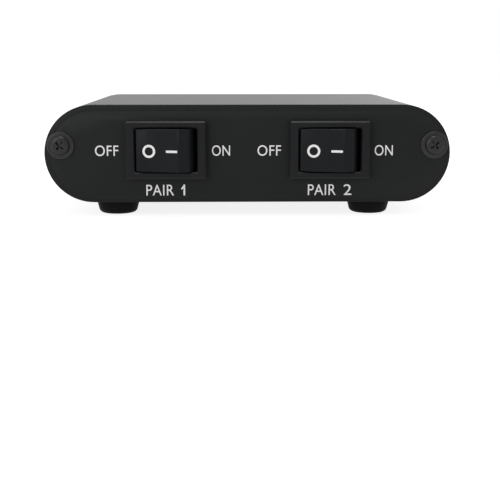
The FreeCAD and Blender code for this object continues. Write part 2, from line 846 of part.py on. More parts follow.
def make_terminals(prefix, x):
    terminals = []
    for pole in (-1, 1):
        z = f"switch_z + {pole} * pole_offset"
        for kind, offset in (("common", "0"), ("output", "-contact_place")):
            middle = f"{x} + ({offset})"
            top = "body_floor_y"
            tab = block(
                f"{prefix}_{kind}_tab", centred("tab_thick", middle), (top, "tab_end"),
                centred("tab_width", z),
            )
            end = value("tab_end")
            across = Vector(1, 0, 0)
            tab = soften(
                "Chamfer", f"{prefix}_{kind}_tab_cut", tab,
                lambda edge: lies_at(edge, Vector(0, 1, 0), end) and runs_along(edge, across),
                "tab_corner",
            )
            eye = rod(
                f"{prefix}_{kind}_eye", "x", "tab_hole_dia / 2",
                (f"{middle} - tab_thick", "tab_end - tab_hole_place", z), "2 * tab_thick",
            )
            if kind == "common":
                post = block(
                    f"{prefix}_post", centred("tab_thick", middle), ("fulcrum_y", top),
                    centred("blade_width", z),
                )
                crest = rod(
                    f"{prefix}_crest", "z", "fulcrum_round",
                    (middle, "fulcrum_y", f"{z} - blade_width / 2"), "blade_width",
                )
                head = fuse(f"{prefix}_fulcrum", post, crest)
            else:
                plate = block(
                    f"{prefix}_foot_plate", centred("foot_plate_width", middle),
                    ("fixed_contact_y + contact_height", top), centred("blade_width", z),
                )
                button = rod(
                    f"{prefix}_fixed_contact", "y", "contact_dia / 2",
                    (middle, "fixed_contact_y", z), "contact_height",
                )
                head = fuse(f"{prefix}_contact_plate", plate, button)
            terminals.append(cut(f"{prefix}_{kind}", fuse(f"{prefix}_{kind}_blank", tab, head), eye))
    node(group(prefix + "_terminal_set", *terminals), f"{prefix}_terminals")


# Leads from the switch tabs to the board, one soft arch each

LEAD_ARCHES = {
    # Shares of a row's reach behind the tab and of its rise over the board
    1: [(0.255, 0.686), (0.51, 0.95), (0.765, 1), (0.956, 0.736), (1, 0.364)],
    -1: [(0.286, 0.261), (0.516, 0.812), (0.737, 1), (0.922, 0.754), (1, 0.377)],
}
LEAD_ROW = {1: "upper", -1: "lower"}
BEND_SHARE = 0.45


def lead_places(switch_x):
    return [switch_x, f"{switch_x} - contact_place"]


def lead_landing(row):
    return f"lead_{LEAD_ROW[row]}_reach"


def bent_path(points):
    """Straight runs joined by tangent arcs, each as large as its two runs allow."""
    edges = []
    radii = []
    start = points[0]
    for before, corner, after in zip(points, points[1:], points[2:]):
        arriving = corner - before
        leaving = after - corner
        trim = BEND_SHARE * min(arriving.Length, leaving.Length)
        half_turn = arriving.getAngle(leaving) / 2
        entry = corner - arriving.normalize() * trim
        exit_point = corner + leaving.normalize() * trim
        inward = (leaving - arriving).normalize()
        radius = trim / math.tan(half_turn)
        centre = corner + inward * math.hypot(radius, trim)
        edges.append(Part.LineSegment(start, entry).toShape())
        edges.append(Part.Arc(entry, centre - inward * radius, exit_point).toShape())
        radii.append(radius)
        start = exit_point
    edges.append(Part.LineSegment(start, points[-1]).toShape())
    return Part.Wire(edges), radii


def make_leads(prefix, switch_x):
    leads = []
    for row in (-1, 1):
        tab_z = value(f"switch_z + {row} * pole_offset")
        for x in lead_places(switch_x):
            across = value(x)
            board_y = value(f"tab_end + {lead_landing(row)}")
            points = [Vector(across, value("tab_end"), tab_z)]
            points += [
                Vector(
                    across, value(f"tab_end + {back} * {lead_landing(row)}"),
                    value(f"board_z + {up} * lead_{LEAD_ROW[row]}_rise"),
                )
                for back, up in LEAD_ARCHES[row]
            ]
            points.append(Vector(across, board_y, value("board_z + lead_end_gap")))
            path, radii = bent_path(points)
            section = Part.Wire(Part.makeCircle(value("lead_dia") / 2, points[0], Vector(0, 1, 0)))
            leads.append(path.makePipeShell([section], True, False))
        print(f"{prefix} lead row {row}: bend radii {', '.join(f'{radius:.1f}' for radius in radii)}")
    shape_node(Part.makeCompound(leads), f"{prefix}_leads")


# Rear terminal blocks: fixed headers on the board and plugs that pull out of them

def block_places():
    """Middles of the three blocks, numbered from the left as seen from behind."""
    return ["block_spacing", "0", "-block_spacing"]


def pole_places(block_x):
    """Middles of a block's four poles, numbered from the left as seen from behind."""
    return [f"{block_x} - ({number} - 1.5) * pole_pitch" for number in range(4)]


def make_header(prefix, x):
    shell = block(
        prefix + "_blank", centred("header_width", x), ("header_back", "header_front"),
        ("board_z", "board_z + header_height"),
    )
    shell = soften(
        "Fillet", prefix + "_rounded", shell,
        lambda edge: runs_along(edge, Vector(0, 1, 0)), "header_corner",
    )
    inner_back = "header_back + header_back_wall"
    socket = block(
        prefix + "_socket", centred("plug_width + 2 * nose_slip", x), (inner_back, "header_front + overcut"),
        ("board_z + header_floor", "board_z + header_height - header_roof"),
    )
    cuts = [socket]
    for side in (-1, 1):
        cuts.append(block(
            prefix + "_key_slot", centred("key_width", f"{x} + {side} * pole_pitch"),
            ("header_front - key_depth", "header_front + overcut"),
            ("board_z + header_height / 2", "board_z + header_height + overcut"),
        ))
    for pole_x in pole_places(x):
        cuts.append(block(
            prefix + "_pin_slot", centred("pin_size", pole_x),
            ("header_back - overcut", f"{inner_back} + overcut"), centred("pin_size", "pin_z"),
        ))
    node(cut(prefix + "_shell_cut", shell, *cuts), f"{prefix}_shell")


def make_pins(prefix, x):
    pins = []
    for pole_x in pole_places(x):
        profile = outline(
            prefix + "_pin_outline",
            [
                ("pin_front", "-pin_size / 2"),
                ("pin_front", "pin_size / 2"),
                ("pin_leg - pin_size / 2 + pin_bend", "pin_size / 2"),
                ("pin_leg - pin_size / 2", "pin_size / 2 - pin_bend"),
                ("pin_leg - pin_size / 2", "-pin_level - board_thick - pin_tail"),
                ("pin_leg + pin_size / 2", "-pin_level - board_thick - pin_tail"),
                ("pin_leg + pin_size / 2", "-pin_size / 2"),
            ],
            FACING_SIDE, f"{pole_x} - pin_size / 2", "0", "pin_z",
        )
        pins.append(extrude(prefix + "_pin", profile, Vector(1, 0, 0), "pin_size"))
    node(group(prefix + "_pin_row", *pins), f"{prefix}_pins")


def make_plug(prefix, x):
    """The plug's moulding: a screw tower behind a flat nose, with four wire entries."""
    tower = extrude(
        prefix + "_tower", outline(
            prefix + "_tower_profile",
            [
                ("plug_front", "0"),
                ("plug_face", "0"),
                ("plug_face", "lip_height"),
                ("plug_face - groove_depth", "lip_height"),
                ("plug_face - groove_depth", "lip_height + lip_groove"),
                ("plug_face", "lip_height + lip_groove"),
                ("plug_face", "plug_height"),
                ("plug_front", "plug_height"),
            ],
            FACING_SIDE, f"{x} - plug_width / 2", "0", "plug_z",
        ), Vector(1, 0, 0), "plug_width",
    )
    top = value("plug_z + plug_height")
    tower = soften(
        "Fillet", prefix + "_tower_rounded", tower,
        lambda edge: lies_at(edge, Vector(0, 0, 1), top) and runs_along(edge, Vector(1, 0, 0)),
        "tower_round",
    )
    nose = block(
        prefix + "_nose_blank", centred("plug_width", x), ("nose_end", "plug_front + overcut"),
        ("nose_bottom", "nose_top"),
    )
    inner = value("nose_end")
    nose = soften(
        "Chamfer", prefix + "_nose", nose, lambda edge: lies_at(edge, Vector(0, 1, 0), inner),
        "nose_edge",
    )
    cuts = [block(
        prefix + "_plate_recess", centred("plug_width - 2 * plate_border", x),
        ("plug_face - plate_depth", "plug_face + overcut"), ("plug_z + plate_low", "brow_z"),
    )]
    for number in (-1, 0, 1):
        cuts.append(block(
            prefix + "_rib_groove", centred("rib_groove", f"{x} + {number} * pole_pitch"),
            ("plug_face - plate_depth - groove_depth", "plug_face + overcut"),
            ("plug_z + rib_groove_low", "brow_z"),
        ))
    cuts.append(block(
        prefix + "_brow_groove", centred("plug_width - 2 * plate_border", x),
        ("plug_face - plate_depth - groove_depth", "plug_face + overcut"), ("brow_z - lip_groove", "brow_z"),
    ))
    entry_z = ("plug_z + entry_low", "plug_z + entry_low + entry_height")
    for pole_x in pole_places(x):
        cuts.append(block(
            prefix + "_entry", centred("entry_width", pole_x),
            ("entry_back - overcut", "plug_face + overcut"), entry_z,
        ))
        mouth = (centred("entry_width", pole_x), entry_z)
        cuts.append(frustum(
            prefix + "_entry_flare", mouth, [grown(span, "entry_flare") for span in mouth],
            ("plug_face - entry_flare", "plug_face"),
        ))
        cuts.append(block(
            prefix + "_chamber", centred("chamber_width", pole_x), ("chamber_back", "entry_back"),
            ("cage_z - chamber_gap", "chamber_top"),
        ))
        cuts.append(block(
            prefix + "_channel", centred("2 * (socket_half + channel_gap)", pole_x),
            ("nose_end - overcut", "chamber_back + overcut"),
            ("pin_z - socket_half - channel_gap", "tongue_top + channel_gap"),
        ))
        cuts.append(rod(
            prefix + "_shank_hole", "z", "clamp_screw_dia / 2 + chamber_gap",
            (pole_x, "cage_mid_y", "chamber_top - overcut"), "plug_height",
        ))
        cuts.append(rod(
            prefix + "_head_hole", "z", "clamp_head_dia / 2 + clamp_head_gap",
            (pole_x, "cage_mid_y", "chamber_top + ledge_thick"), "plug_height",
        ))
    node(cut(prefix + "_moulding", fuse(prefix + "_blank", tower, nose), *cuts), f"{prefix}_body")


def make_contacts(prefix, x):
    """Plated contacts: a tongue through each cage and a socket for the header's pin."""
    contacts = []
    start = "plug_face - tongue_start"
    socket_front = "nose_end + socket_setback"
    socket_rear = "chamber_back - socket_setback"
    for pole_x in pole_places(x):
        lip = block(
            prefix + "_lip", centred("tongue_width", pole_x), (f"{start} - tongue_lip_thick", start),
            ("tongue_top - tongue_lip", "tongue_top"),
        )
        tongue = block(
            prefix + "_tongue", centred("tongue_width", pole_x), (socket_rear, start),
            ("tongue_z", "tongue_top"),
        )
        tube = block(
            prefix + "_socket_blank", centred("2 * socket_half", pole_x), (socket_front, socket_rear),
            ("pin_z - socket_half", "tongue_top"),
        )
        way = block(
            prefix + "_pin_way", centred("pin_size + 2 * socket_gap", pole_x),
            ("nose_end", f"{socket_rear} - socket_wall"), centred("pin_size + 2 * socket_gap", "pin_z"),
        )
        slot = block(
            prefix + "_leaf_slot", centred("4 * socket_half", pole_x),
            ("nose_end", f"{socket_front} + socket_slot"), centred("socket_slot_height", "pin_z"),
        )
        contacts.append(cut(
            prefix + "_contact", fuse(prefix + "_contact_blank", lip, tongue, tube), way, slot
        ))
    node(group(prefix + "_contact_row", *contacts), f"{prefix}_contacts")


def make_clamp_screw(label, x):
    shank_low = "tongue_top + seat_gap"
    shank = rod(
        label + "_shank", "z", "clamp_screw_dia / 2", (x, "cage_mid_y", shank_low),
        f"clamp_head_z - ({shank_low})",
    )
    head = rod(
        label + "_head", "z", "clamp_head_dia / 2", (x, "cage_mid_y", "clamp_head_z"),
        "clamp_head_height",
    )
    slot = block(
        label + "_slot", centred("2 * clamp_head_dia", x), centred("clamp_slot_width", "cage_mid_y"),
        ("clamp_head_z + clamp_head_height - clamp_slot_depth", "clamp_head_z + clamp_head_height + overcut"),
    )
    node(cut(label + "_cut", fuse(label + "_blank", shank, head), slot), label)


def make_cage(label, x):
    frame = block(
        label + "_frame", centred("cage_width", x), ("cage_back", "cage_front"),
        ("cage_z", "cage_roof_z + cage_top"),
    )
    window = block(
        label + "_window", centred("cage_width - 2 * cage_side", x),
        ("cage_back - overcut", "cage_front + overcut"), ("cage_z + cage_floor", "cage_roof_z"),
    )
    thread = rod(
        label + "_thread", "z", "clamp_screw_dia / 2 + clamp_thread_gap",
        (x, "cage_mid_y", "cage_roof_z - overcut"), "cage_top + 2 * overcut",
    )
    node(cut(label + "_cut", frame, window, thread), label)


def make_switches():
    for number, x in enumerate(switch_places(), start=1):
        prefix = f"switch_{number}"
        make_housing(prefix, x)
        make_rocker(prefix, x)
        make_plungers(prefix, x)
        make_springs(prefix, x)
        make_blades(prefix, x)
        make_terminals(prefix, x)
        make_leads(prefix, x)


def make_blocks():
    for number, x in enumerate(block_places(), start=1):
        make_header(f"header_{number}", x)
        make_pins(f"header_{number}", x)
        make_plug(f"plug_{number}", x)
        make_contacts(f"plug_{number}", x)
        for pole, pole_x in enumerate(pole_places(x), start=1):
            make_clamp_screw(f"plug_{number}_clamp_screw_{pole}", pole_x)
            make_cage(f"plug_{number}_wire_cage_{pole}", pole_x)


def check_model():
    """Stop if any object failed or any sub-part is empty or invalid."""
    for item in doc.Objects:
        if {"Invalid", "Error"} & set(item.State):
            raise RuntimeError(f"{item.Name} failed: {item.State}")
    for item in nodes:
        if item.Shape.isNull() or not item.Shape.isValid() or not item.Shape.Solids:
            raise RuntimeError(f"{item.Label} has no valid solid")


def export_nodes():
    os.makedirs("parts", exist_ok=True)
    for item in nodes:
        item.Shape.exportStep(f"parts/{item.Label}.step")


fill_sheet()
make_case()
make_panels()
make_fasteners()
make_feet()
make_board()
make_switches()
make_blocks()
doc.recompute()
check_model()
export_nodes()
print(f"{len(nodes)} nodes, {sum(len(item.Shape.Solids) for item in nodes)} solids")
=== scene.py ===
# %% [markdown]
# # A speaker selector switch
#
# The real object is a flat black metal box, 106 mm wide. Two rocker switches in front choose which
# pair of speakers plays, and three green plugs at the back take the speaker wires.
#
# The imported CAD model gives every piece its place. This lesson dresses it: soft edges, screws,
# feet, printed words and a finish for each material, then a plain studio to look at it in.

import json
import math

import bmesh
import bpy
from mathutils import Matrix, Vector

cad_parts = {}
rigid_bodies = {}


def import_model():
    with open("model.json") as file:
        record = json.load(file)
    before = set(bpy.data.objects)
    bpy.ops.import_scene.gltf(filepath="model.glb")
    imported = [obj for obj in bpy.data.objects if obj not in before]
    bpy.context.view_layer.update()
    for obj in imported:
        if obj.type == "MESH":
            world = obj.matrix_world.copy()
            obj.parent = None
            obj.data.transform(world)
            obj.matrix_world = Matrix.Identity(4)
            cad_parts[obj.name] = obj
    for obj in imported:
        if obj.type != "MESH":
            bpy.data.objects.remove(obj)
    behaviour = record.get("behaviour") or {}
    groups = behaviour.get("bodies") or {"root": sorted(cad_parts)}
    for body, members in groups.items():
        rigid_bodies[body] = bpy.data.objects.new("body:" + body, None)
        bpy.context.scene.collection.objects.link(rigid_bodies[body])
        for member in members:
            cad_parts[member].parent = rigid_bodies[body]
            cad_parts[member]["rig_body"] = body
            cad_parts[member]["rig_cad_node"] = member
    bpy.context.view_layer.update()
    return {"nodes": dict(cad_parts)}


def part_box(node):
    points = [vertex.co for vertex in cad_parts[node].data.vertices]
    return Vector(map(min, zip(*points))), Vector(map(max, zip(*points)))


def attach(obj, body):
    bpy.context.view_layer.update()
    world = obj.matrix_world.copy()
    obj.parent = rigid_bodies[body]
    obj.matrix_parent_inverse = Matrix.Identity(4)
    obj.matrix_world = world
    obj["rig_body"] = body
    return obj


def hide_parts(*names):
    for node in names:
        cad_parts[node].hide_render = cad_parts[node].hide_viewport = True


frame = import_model()
MM = 0.001

# %% [markdown]
# ## Working by hand, in code
#
# An operator acts on whatever is selected, so each step starts by selecting one object alone.
# Faces and edges are then chosen by where they are or which way they look, as a maker would point
# at them.

# %% Choose an object, its faces or its edges
FACING = 0.9  # a face looks along an axis if this much of its normal does
NEAR = 0.01 * MM  # two places closer than this count as one


def only(piece):
    """Selects this piece alone and makes it the active one."""
    bpy.ops.object.select_all(action="DESELECT")
    piece.select_set(True)
    bpy.context.view_layer.objects.active = piece


def choose(piece, kind, test):
    """In edit mode, selects the faces or the edges that pass the test, and counts them."""
    modes = {"edges": (False, True, False), "faces": (False, False, True)}
    bpy.context.tool_settings.mesh_select_mode = modes[kind]
    bpy.ops.mesh.select_all(action="DESELECT")
    mesh = bmesh.from_edit_mesh(piece.data)
    found = [element for element in getattr(mesh, kind) if test(element)]
    for element in found:
        element.select_set(True)
    mesh.select_flush_mode()
    bmesh.update_edit_mesh(piece.data)
    return len(found)


def settle(piece, name):
    """Puts the piece's place and turn into its mesh, so its object sits at the origin."""
    only(piece)
    bpy.ops.object.transform_apply(location=True, rotation=True, scale=True)
    piece.name = piece.data.name = name
    return piece


def copy_by(piece, name, offset):
    """Copies a finished piece, mesh and all, and shifts the copy."""
    only(piece)
    bpy.ops.object.duplicate(linked=False)
    twin = bpy.context.active_object
    bpy.ops.transform.translate(value=offset)
    return settle(twin, name)


def to_four_corners(piece, stem, across, back):
    """Copies a front left piece to the other three corners and returns all four."""
    return [
        piece,
        copy_by(piece, f"{stem}_front_right", across),
        copy_by(piece, f"{stem}_rear_left", back),
        copy_by(piece, f"{stem}_rear_right", across + back),
    ]


def in_mm(lengths):
    """Lengths in metres, rounded for printing in millimetres."""
    return [round(length / MM, 2) for length in lengths]


print("helpers ready")

# %% [markdown]
# ## Dressing a CAD piece
#
# CAD corners are perfectly sharp, and nothing made in a factory is: a moulding has a small radius,
# and paint rounds a cut edge. A sharp edge catches no light, while a soft one draws the thin bright
# lines seen in the photograph. So the larger pieces are copied from the CAD, their loose triangles
# joined, and their sharp edges beveled by one or two tenths of a millimetre. A bevel modifier with
# hardened normals keeps the flat faces flat.

# %% Soften a piece's sharp edges
SHARP = math.radians(35)  # an edge is sharp if its faces meet at more than this


def soften(piece, edge, steps, flat=True, slot=-1):
    """Rounds sharp edges by this many mm. Their new faces take the material slot, if it is given.

    A piece whose main face is curved isn't flat, and its shading runs from facet to facet.
    """
    bpy.ops.object.shade_smooth_by_angle(angle=SHARP)
    bevel = piece.modifiers.new("soft edges", "BEVEL")
    bevel.width = edge * MM
    bevel.segments = steps
    bevel.limit_method = "ANGLE"
    bevel.angle_limit = SHARP
    bevel.harden_normals = flat
    bevel.material = slot
    bpy.ops.object.modifier_apply(modifier=bevel.name)


print("edges are sharp above", round(math.degrees(SHARP)), "degrees")

# %% [markdown]
# A CAD piece arrives as loose triangles with fixed normals. Joining them and dissolving the lines
# inside each flat leaves only the real edges. Where two green faces meet outwards, the rounded edge
# gets its own material slot for a painted highlight, and an inner corner keeps the body's.

# %% Copy a CAD node and soften the copy
MERGE = 0.002 * MM
FLAT_WITHIN = math.radians(0.4)
OUTWARD_BEND = -0.05  # radians. An edge that juts out has a more negative angle than this.


def dress(node, name, edge, steps=2, first=None, own_edge_highlight=False, flat=True):
    """Copies a CAD node as a new piece, does first to it if given, and rounds its sharp edges.

    With own_edge_highlight, the new faces on outward edges go to a second material slot, for a
    painted highlight.
    """
    only(frame["nodes"][node])
    bpy.ops.object.duplicate(linked=False)
    piece = bpy.context.active_object
    bpy.ops.object.parent_clear(type="CLEAR_KEEP_TRANSFORM")
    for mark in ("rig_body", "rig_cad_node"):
        del piece[mark]
    bpy.ops.object.mode_set(mode="EDIT")
    bpy.context.tool_settings.mesh_select_mode = (True, False, False)
    bpy.ops.mesh.select_all(action="SELECT")
    bpy.ops.mesh.customdata_custom_splitnormals_clear()
    bpy.ops.mesh.mark_sharp(clear=True)
    bpy.ops.mesh.remove_doubles(threshold=MERGE)
    bpy.ops.mesh.dissolve_limited(angle_limit=FLAT_WITHIN)
    bpy.ops.object.mode_set(mode="OBJECT")
    if first:
        first(piece)
    if own_edge_highlight:
        piece.data.materials.append(None)
    soften(piece, edge, steps, flat, slot=1 if own_edge_highlight else -1)
    if own_edge_highlight:
        bpy.ops.object.mode_set(mode="EDIT")
        choose(
            piece,
            "faces",
            lambda f: f.material_index == 1
            and any(e.calc_face_angle_signed(0) < OUTWARD_BEND for e in f.edges),
        )
        piece.active_material_index = 0
        bpy.ops.object.material_slot_assign()
        bpy.ops.object.mode_set(mode="OBJECT")
    piece = settle(piece, name)
    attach(piece, frame["nodes"][node]["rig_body"])
    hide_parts(node)
    print(f"{name}: {len(piece.data.polygons)} faces, edges softened by {edge} mm")
    return piece

# %% [markdown]
# ## The case and its two plates
#
# The case is a length of aluminium extrusion with a stadium section, and a flat plate closes each
# end. The plates' border is a shallow slope, already in the CAD.

# %% Dress the case and plates
METAL_EDGE = 0.12
case_shell = dress("extruded_case", "case_shell", METAL_EDGE)
front_plate = dress("front_panel", "front_plate", METAL_EDGE)
rear_plate = dress("rear_panel", "rear_plate", METAL_EDGE)

# %% [markdown]
# A fine groove runs round each plate where its flat meets the sloping border. It shows as a thin
# dark line. The flat is inset three times: once to leave a lip, once sinking, and once rising.

# %% Press the groove into a plate
GROOVE_WIDE, GROOVE_DEEP, GROOVE_LIP = 0.34, 0.2, 0.05
SQUARE_ON = 0.999  # the plate's flat looks straight out, and its border doesn't


def press_groove(plate, outward):
    """Sinks a groove round a plate's flat. Outward is 1 or -1, its outer face's way along Y."""
    only(plate)
    bpy.ops.object.mode_set(mode="EDIT")
    flat = max(outward * v.co.y for v in plate.data.vertices)
    found = choose(
        plate,
        "faces",
        lambda f: outward * f.normal.y > SQUARE_ON
        and all(outward * v.co.y > flat - NEAR for v in f.verts),
    )
    bpy.ops.mesh.inset(thickness=GROOVE_LIP * MM)
    bpy.ops.mesh.inset(thickness=GROOVE_WIDE / 2 * MM, depth=-GROOVE_DEEP * MM)
    bpy.ops.mesh.inset(thickness=GROOVE_WIDE / 2 * MM, depth=GROOVE_DEEP * MM)
    bpy.ops.object.mode_set(mode="OBJECT")
    print(f"{plate.name}: groove round {found} flat faces")


press_groove(front_plate, -1)
press_groove(rear_plate, 1)

# %% [markdown]
# ## The switches
#
# Each switch is a moulded frame with a rocker in it. The rocker has a tight ridge where its face
# ends, and a fingertip slides over it, so the mould gives the ridge a full radius. A slanted plane
# cuts the ridge off, and the edges that the cut leaves are rounded.

# %% Round the ridge of a rocker before its other edges
SWITCH_X = 21.3  # each switch is this far from the middle of the case
RIDGE_CUT = ((3.35, -42.7), (5.5, -41.75))  # two points of the plane: x from the switch, and y
RIDGE_RADIUS, RIDGE_STEPS, RIDGE_LENGTH = 0.9, 8, 6


def round_ridge(piece):
    """Cuts the rocker's tight corner away along a slanted plane and rounds what the cut leaves."""
    corners = [corner[0] for corner in piece.bound_box]
    middle = sum(corners) / len(corners)
    (x1, y1), (x2, y2) = RIDGE_CUT
    across = Vector((x2 - x1, y2 - y1, 0)).normalized()
    outward = Vector((across.y, -across.x, 0))
    pivot_x = round(middle / MM / SWITCH_X) * SWITCH_X
    start = Vector(((pivot_x + x1) * MM, y1 * MM, 0))
    bpy.ops.object.mode_set(mode="EDIT")
    bpy.ops.mesh.select_all(action="SELECT")
    bpy.ops.mesh.bisect(plane_co=start, plane_no=outward, clear_outer=True, use_fill=True)
    found = choose(
        piece,
        "edges",
        lambda e: abs(e.verts[0].co.z - e.verts[1].co.z) > RIDGE_LENGTH * MM
        and all(abs((v.co - start).dot(outward)) < NEAR for v in e.verts),
    )
    bpy.ops.mesh.bevel(offset=RIDGE_RADIUS * MM, segments=RIDGE_STEPS)
    bpy.ops.object.mode_set(mode="OBJECT")
    print(f"{piece.name}: {found} ridge edges rounded by {RIDGE_RADIUS} mm")

# %% Dress the switch frames and rockers
SWITCHES = (1, 2)
FRAME_EDGE, ROCKER_EDGE = 0.14, 0.12
switch_frames = [
    dress(f"switch_{n}_housing", f"switch_{n}_frame", FRAME_EDGE, steps=3) for n in SWITCHES
]
rockers = [
    dress(
        f"switch_{n}_rocker",
        f"switch_{n}_rocker_cap",
        ROCKER_EDGE,
        steps=3,
        first=round_ridge,
        flat=False,
    )
    for n in SWITCHES
]

# %% [markdown]
# ## The terminals
#
# Three fixed headers sit in the rear plate's windows and a plug pushes into each. Moulded green
# plastic has a rounder edge than machined metal, and these edges are what shows most in the
# photograph, as pale green lines.

# %% Dress the headers and plugs
BLOCKS, POLES = (1, 2, 3), (1, 2, 3, 4)
HEADER_EDGE, PLUG_EDGE = 0.16, 0.2
headers = [
    dress(f"header_{n}_shell", f"header_{n}_socket", HEADER_EDGE, own_edge_highlight=True) for n in BLOCKS
]
plugs = [
    dress(f"plug_{n}_body", f"plug_{n}_moulding", PLUG_EDGE, steps=3, own_edge_highlight=True)
    for n in BLOCKS
]

# %% [markdown]
# The plug's long upper edge at the back is already round in the CAD, so no bevel finds it. Its
# faces are picked by where they look and how near the top they lie.

# %% Give the plugs' rounded top edge the painted highlight too
TOP_BAND = 0.7 * MM
LEAST_UP, MOST_UP, LEAST_BACK = 0.2, 0.98, 0.15
for plug in plugs:
    only(plug)
    bpy.ops.object.mode_set(mode="EDIT")
    top = max(v.co.z for v in plug.data.vertices)
    found = choose(
        plug,
        "faces",
        lambda f: LEAST_UP < f.normal.z < MOST_UP
        and f.normal.y > LEAST_BACK
        and f.calc_center_median().z > top - TOP_BAND,
    )
    plug.active_material_index = 1
    bpy.ops.object.material_slot_assign()
    bpy.ops.object.mode_set(mode="OBJECT")
    print(f"{plug.name}: {found} faces on its top edge")

# %% [markdown]
# ## A stick-on foot
#
# A rubber foot is a short disc, a little narrower at the floor, with a rounded lower edge and a
# hollow underneath. A cone gives the taper. The lower edge is beveled, the underside inset and
# pushed in, and one foot is copied to the other three places.

# %% Model one foot and copy it
foot_low, foot_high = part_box("front_feet")
FOOT_TOP, FOOT_BOTTOM = 5.9 * MM, 4.9 * MM
FOOT_ROUND, FOOT_SOLE, FOOT_SOFT = 1.0 * MM, 1.0 * MM, 0.15 * MM
CUP_SLOPE, CUP_DEPTH = 0.3 * MM, 0.25 * MM
FOOT_SIDES, MANY_SIDES = 72, 8
foot_height = foot_high.z - foot_low.z
foot_y = (foot_low.y + foot_high.y) / 2
foot_x = foot_low.x + FOOT_TOP
bpy.ops.object.select_all(action="DESELECT")
bpy.ops.mesh.primitive_cone_add(
    vertices=FOOT_SIDES,
    radius1=FOOT_BOTTOM,
    radius2=FOOT_TOP,
    depth=foot_height,
    location=(foot_x, foot_y, foot_low.z + foot_height / 2),
)
foot = bpy.context.active_object
bpy.ops.object.mode_set(mode="EDIT")
choose(foot, "faces", lambda f: f.normal.z < -FACING)
bpy.ops.mesh.bevel(offset=FOOT_ROUND, segments=6, affect="EDGES")
choose(foot, "faces", lambda f: f.normal.z < -FACING and len(f.verts) > MANY_SIDES)
bpy.ops.mesh.inset(thickness=FOOT_SOLE)
bpy.ops.mesh.inset(thickness=CUP_SLOPE, depth=-CUP_DEPTH)
choose(foot, "faces", lambda f: f.normal.z > FACING)
bpy.ops.mesh.bevel(offset=FOOT_SOFT, segments=2, affect="EDGES")
bpy.ops.object.mode_set(mode="OBJECT")
bpy.ops.object.shade_smooth_by_angle(angle=SHARP)
foot = settle(foot, "foot_front_left")
rear_low, rear_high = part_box("rear_feet")
across = Vector((foot_high.x - foot_low.x - 2 * FOOT_TOP, 0, 0))
back = Vector((0, (rear_low.y + rear_high.y) / 2 - foot_y, 0))
feet = to_four_corners(foot, "foot", across, back)
for piece, node in zip(feet, ("front_feet", "front_feet", "rear_feet", "rear_feet")):
    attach(piece, "case")
    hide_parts(node)
print("foot:", in_mm(foot.dimensions), "mm")

# %% [markdown]
# ## A cross-recess screw
#
# The four plate screws have a domed head with a tapered cross. The head starts as a cylinder whose
# outer edge is beveled into a dome. The cross is cut by two narrow blocks, tapered like a
# screwdriver's tip, and the shank is pushed out of the underside. The screw is built upright, then
# turned to face forward, its cross set at a slant as tightening leaves it.

# %% Model one screw
HEAD_RADIUS, HEAD_HEIGHT, DOME = 2.5 * MM, 1.8 * MM, 0.9 * MM
SHANK_RADIUS, SHANK_LENGTH = 1.1 * MM, 7.5 * MM
HEAD_SIDES, DOME_STEPS = 64, 9
bpy.ops.object.select_all(action="DESELECT")
bpy.ops.mesh.primitive_cylinder_add(
    vertices=HEAD_SIDES, radius=HEAD_RADIUS, depth=HEAD_HEIGHT, location=(0, 0, HEAD_HEIGHT / 2)
)
screw = bpy.context.active_object
bpy.ops.object.mode_set(mode="EDIT")
choose(screw, "faces", lambda f: f.normal.z > FACING)
bpy.ops.mesh.bevel(offset=DOME, segments=DOME_STEPS, affect="EDGES")
choose(screw, "faces", lambda f: f.normal.z < -FACING)
bpy.ops.mesh.inset(thickness=HEAD_RADIUS - SHANK_RADIUS)
bpy.ops.mesh.extrude_region_move(TRANSFORM_OT_translate={"value": (0, 0, -SHANK_LENGTH)})
bpy.ops.object.mode_set(mode="OBJECT")
print("screw before its cross:", len(screw.data.polygons), "faces")

# %% Cut the cross into it
RECESS_LENGTH, RECESS_WIDTH, RECESS_DEPTH = 3.5 * MM, 0.95 * MM, 1.1 * MM
RECESS_TAPER = 0.5  # the wings' size at the bottom, as a share of that at the top
SCREW_EDGE = 0.05


def cut_with(piece, cutter):
    """Takes the cutter's shape out of the piece and deletes the cutter."""
    only(piece)
    cut = piece.modifiers.new("cut", "BOOLEAN")
    cut.operation = "DIFFERENCE"
    cut.solver = "EXACT"
    cut.object = cutter
    bpy.ops.object.modifier_apply(modifier=cut.name)
    bpy.data.objects.remove(cutter)


for length, width in ((RECESS_LENGTH, RECESS_WIDTH), (RECESS_WIDTH, RECESS_LENGTH)):
    bpy.ops.object.select_all(action="DESELECT")
    bpy.ops.mesh.primitive_cube_add(size=1, location=(0, 0, HEAD_HEIGHT))
    wing = bpy.context.active_object
    wing.dimensions = (length, width, 2 * RECESS_DEPTH)
    wing = settle(wing, "screwdriver_wing")
    bpy.ops.object.mode_set(mode="EDIT")
    choose(wing, "faces", lambda f: f.normal.z < -FACING)
    bpy.ops.transform.resize(
        value=(RECESS_TAPER, RECESS_TAPER, 1), center_override=(0, 0, HEAD_HEIGHT)
    )
    bpy.ops.object.mode_set(mode="OBJECT")
    cut_with(screw, wing)
only(screw)
soften(screw, SCREW_EDGE, steps=2)
print("screw:", in_mm(screw.dimensions), "mm")

# %% [markdown]
# The tip of each head touches the outermost place of the CAD screws. Every copy turns on its own
# slant before it is laid down, so no two crosses look alike.

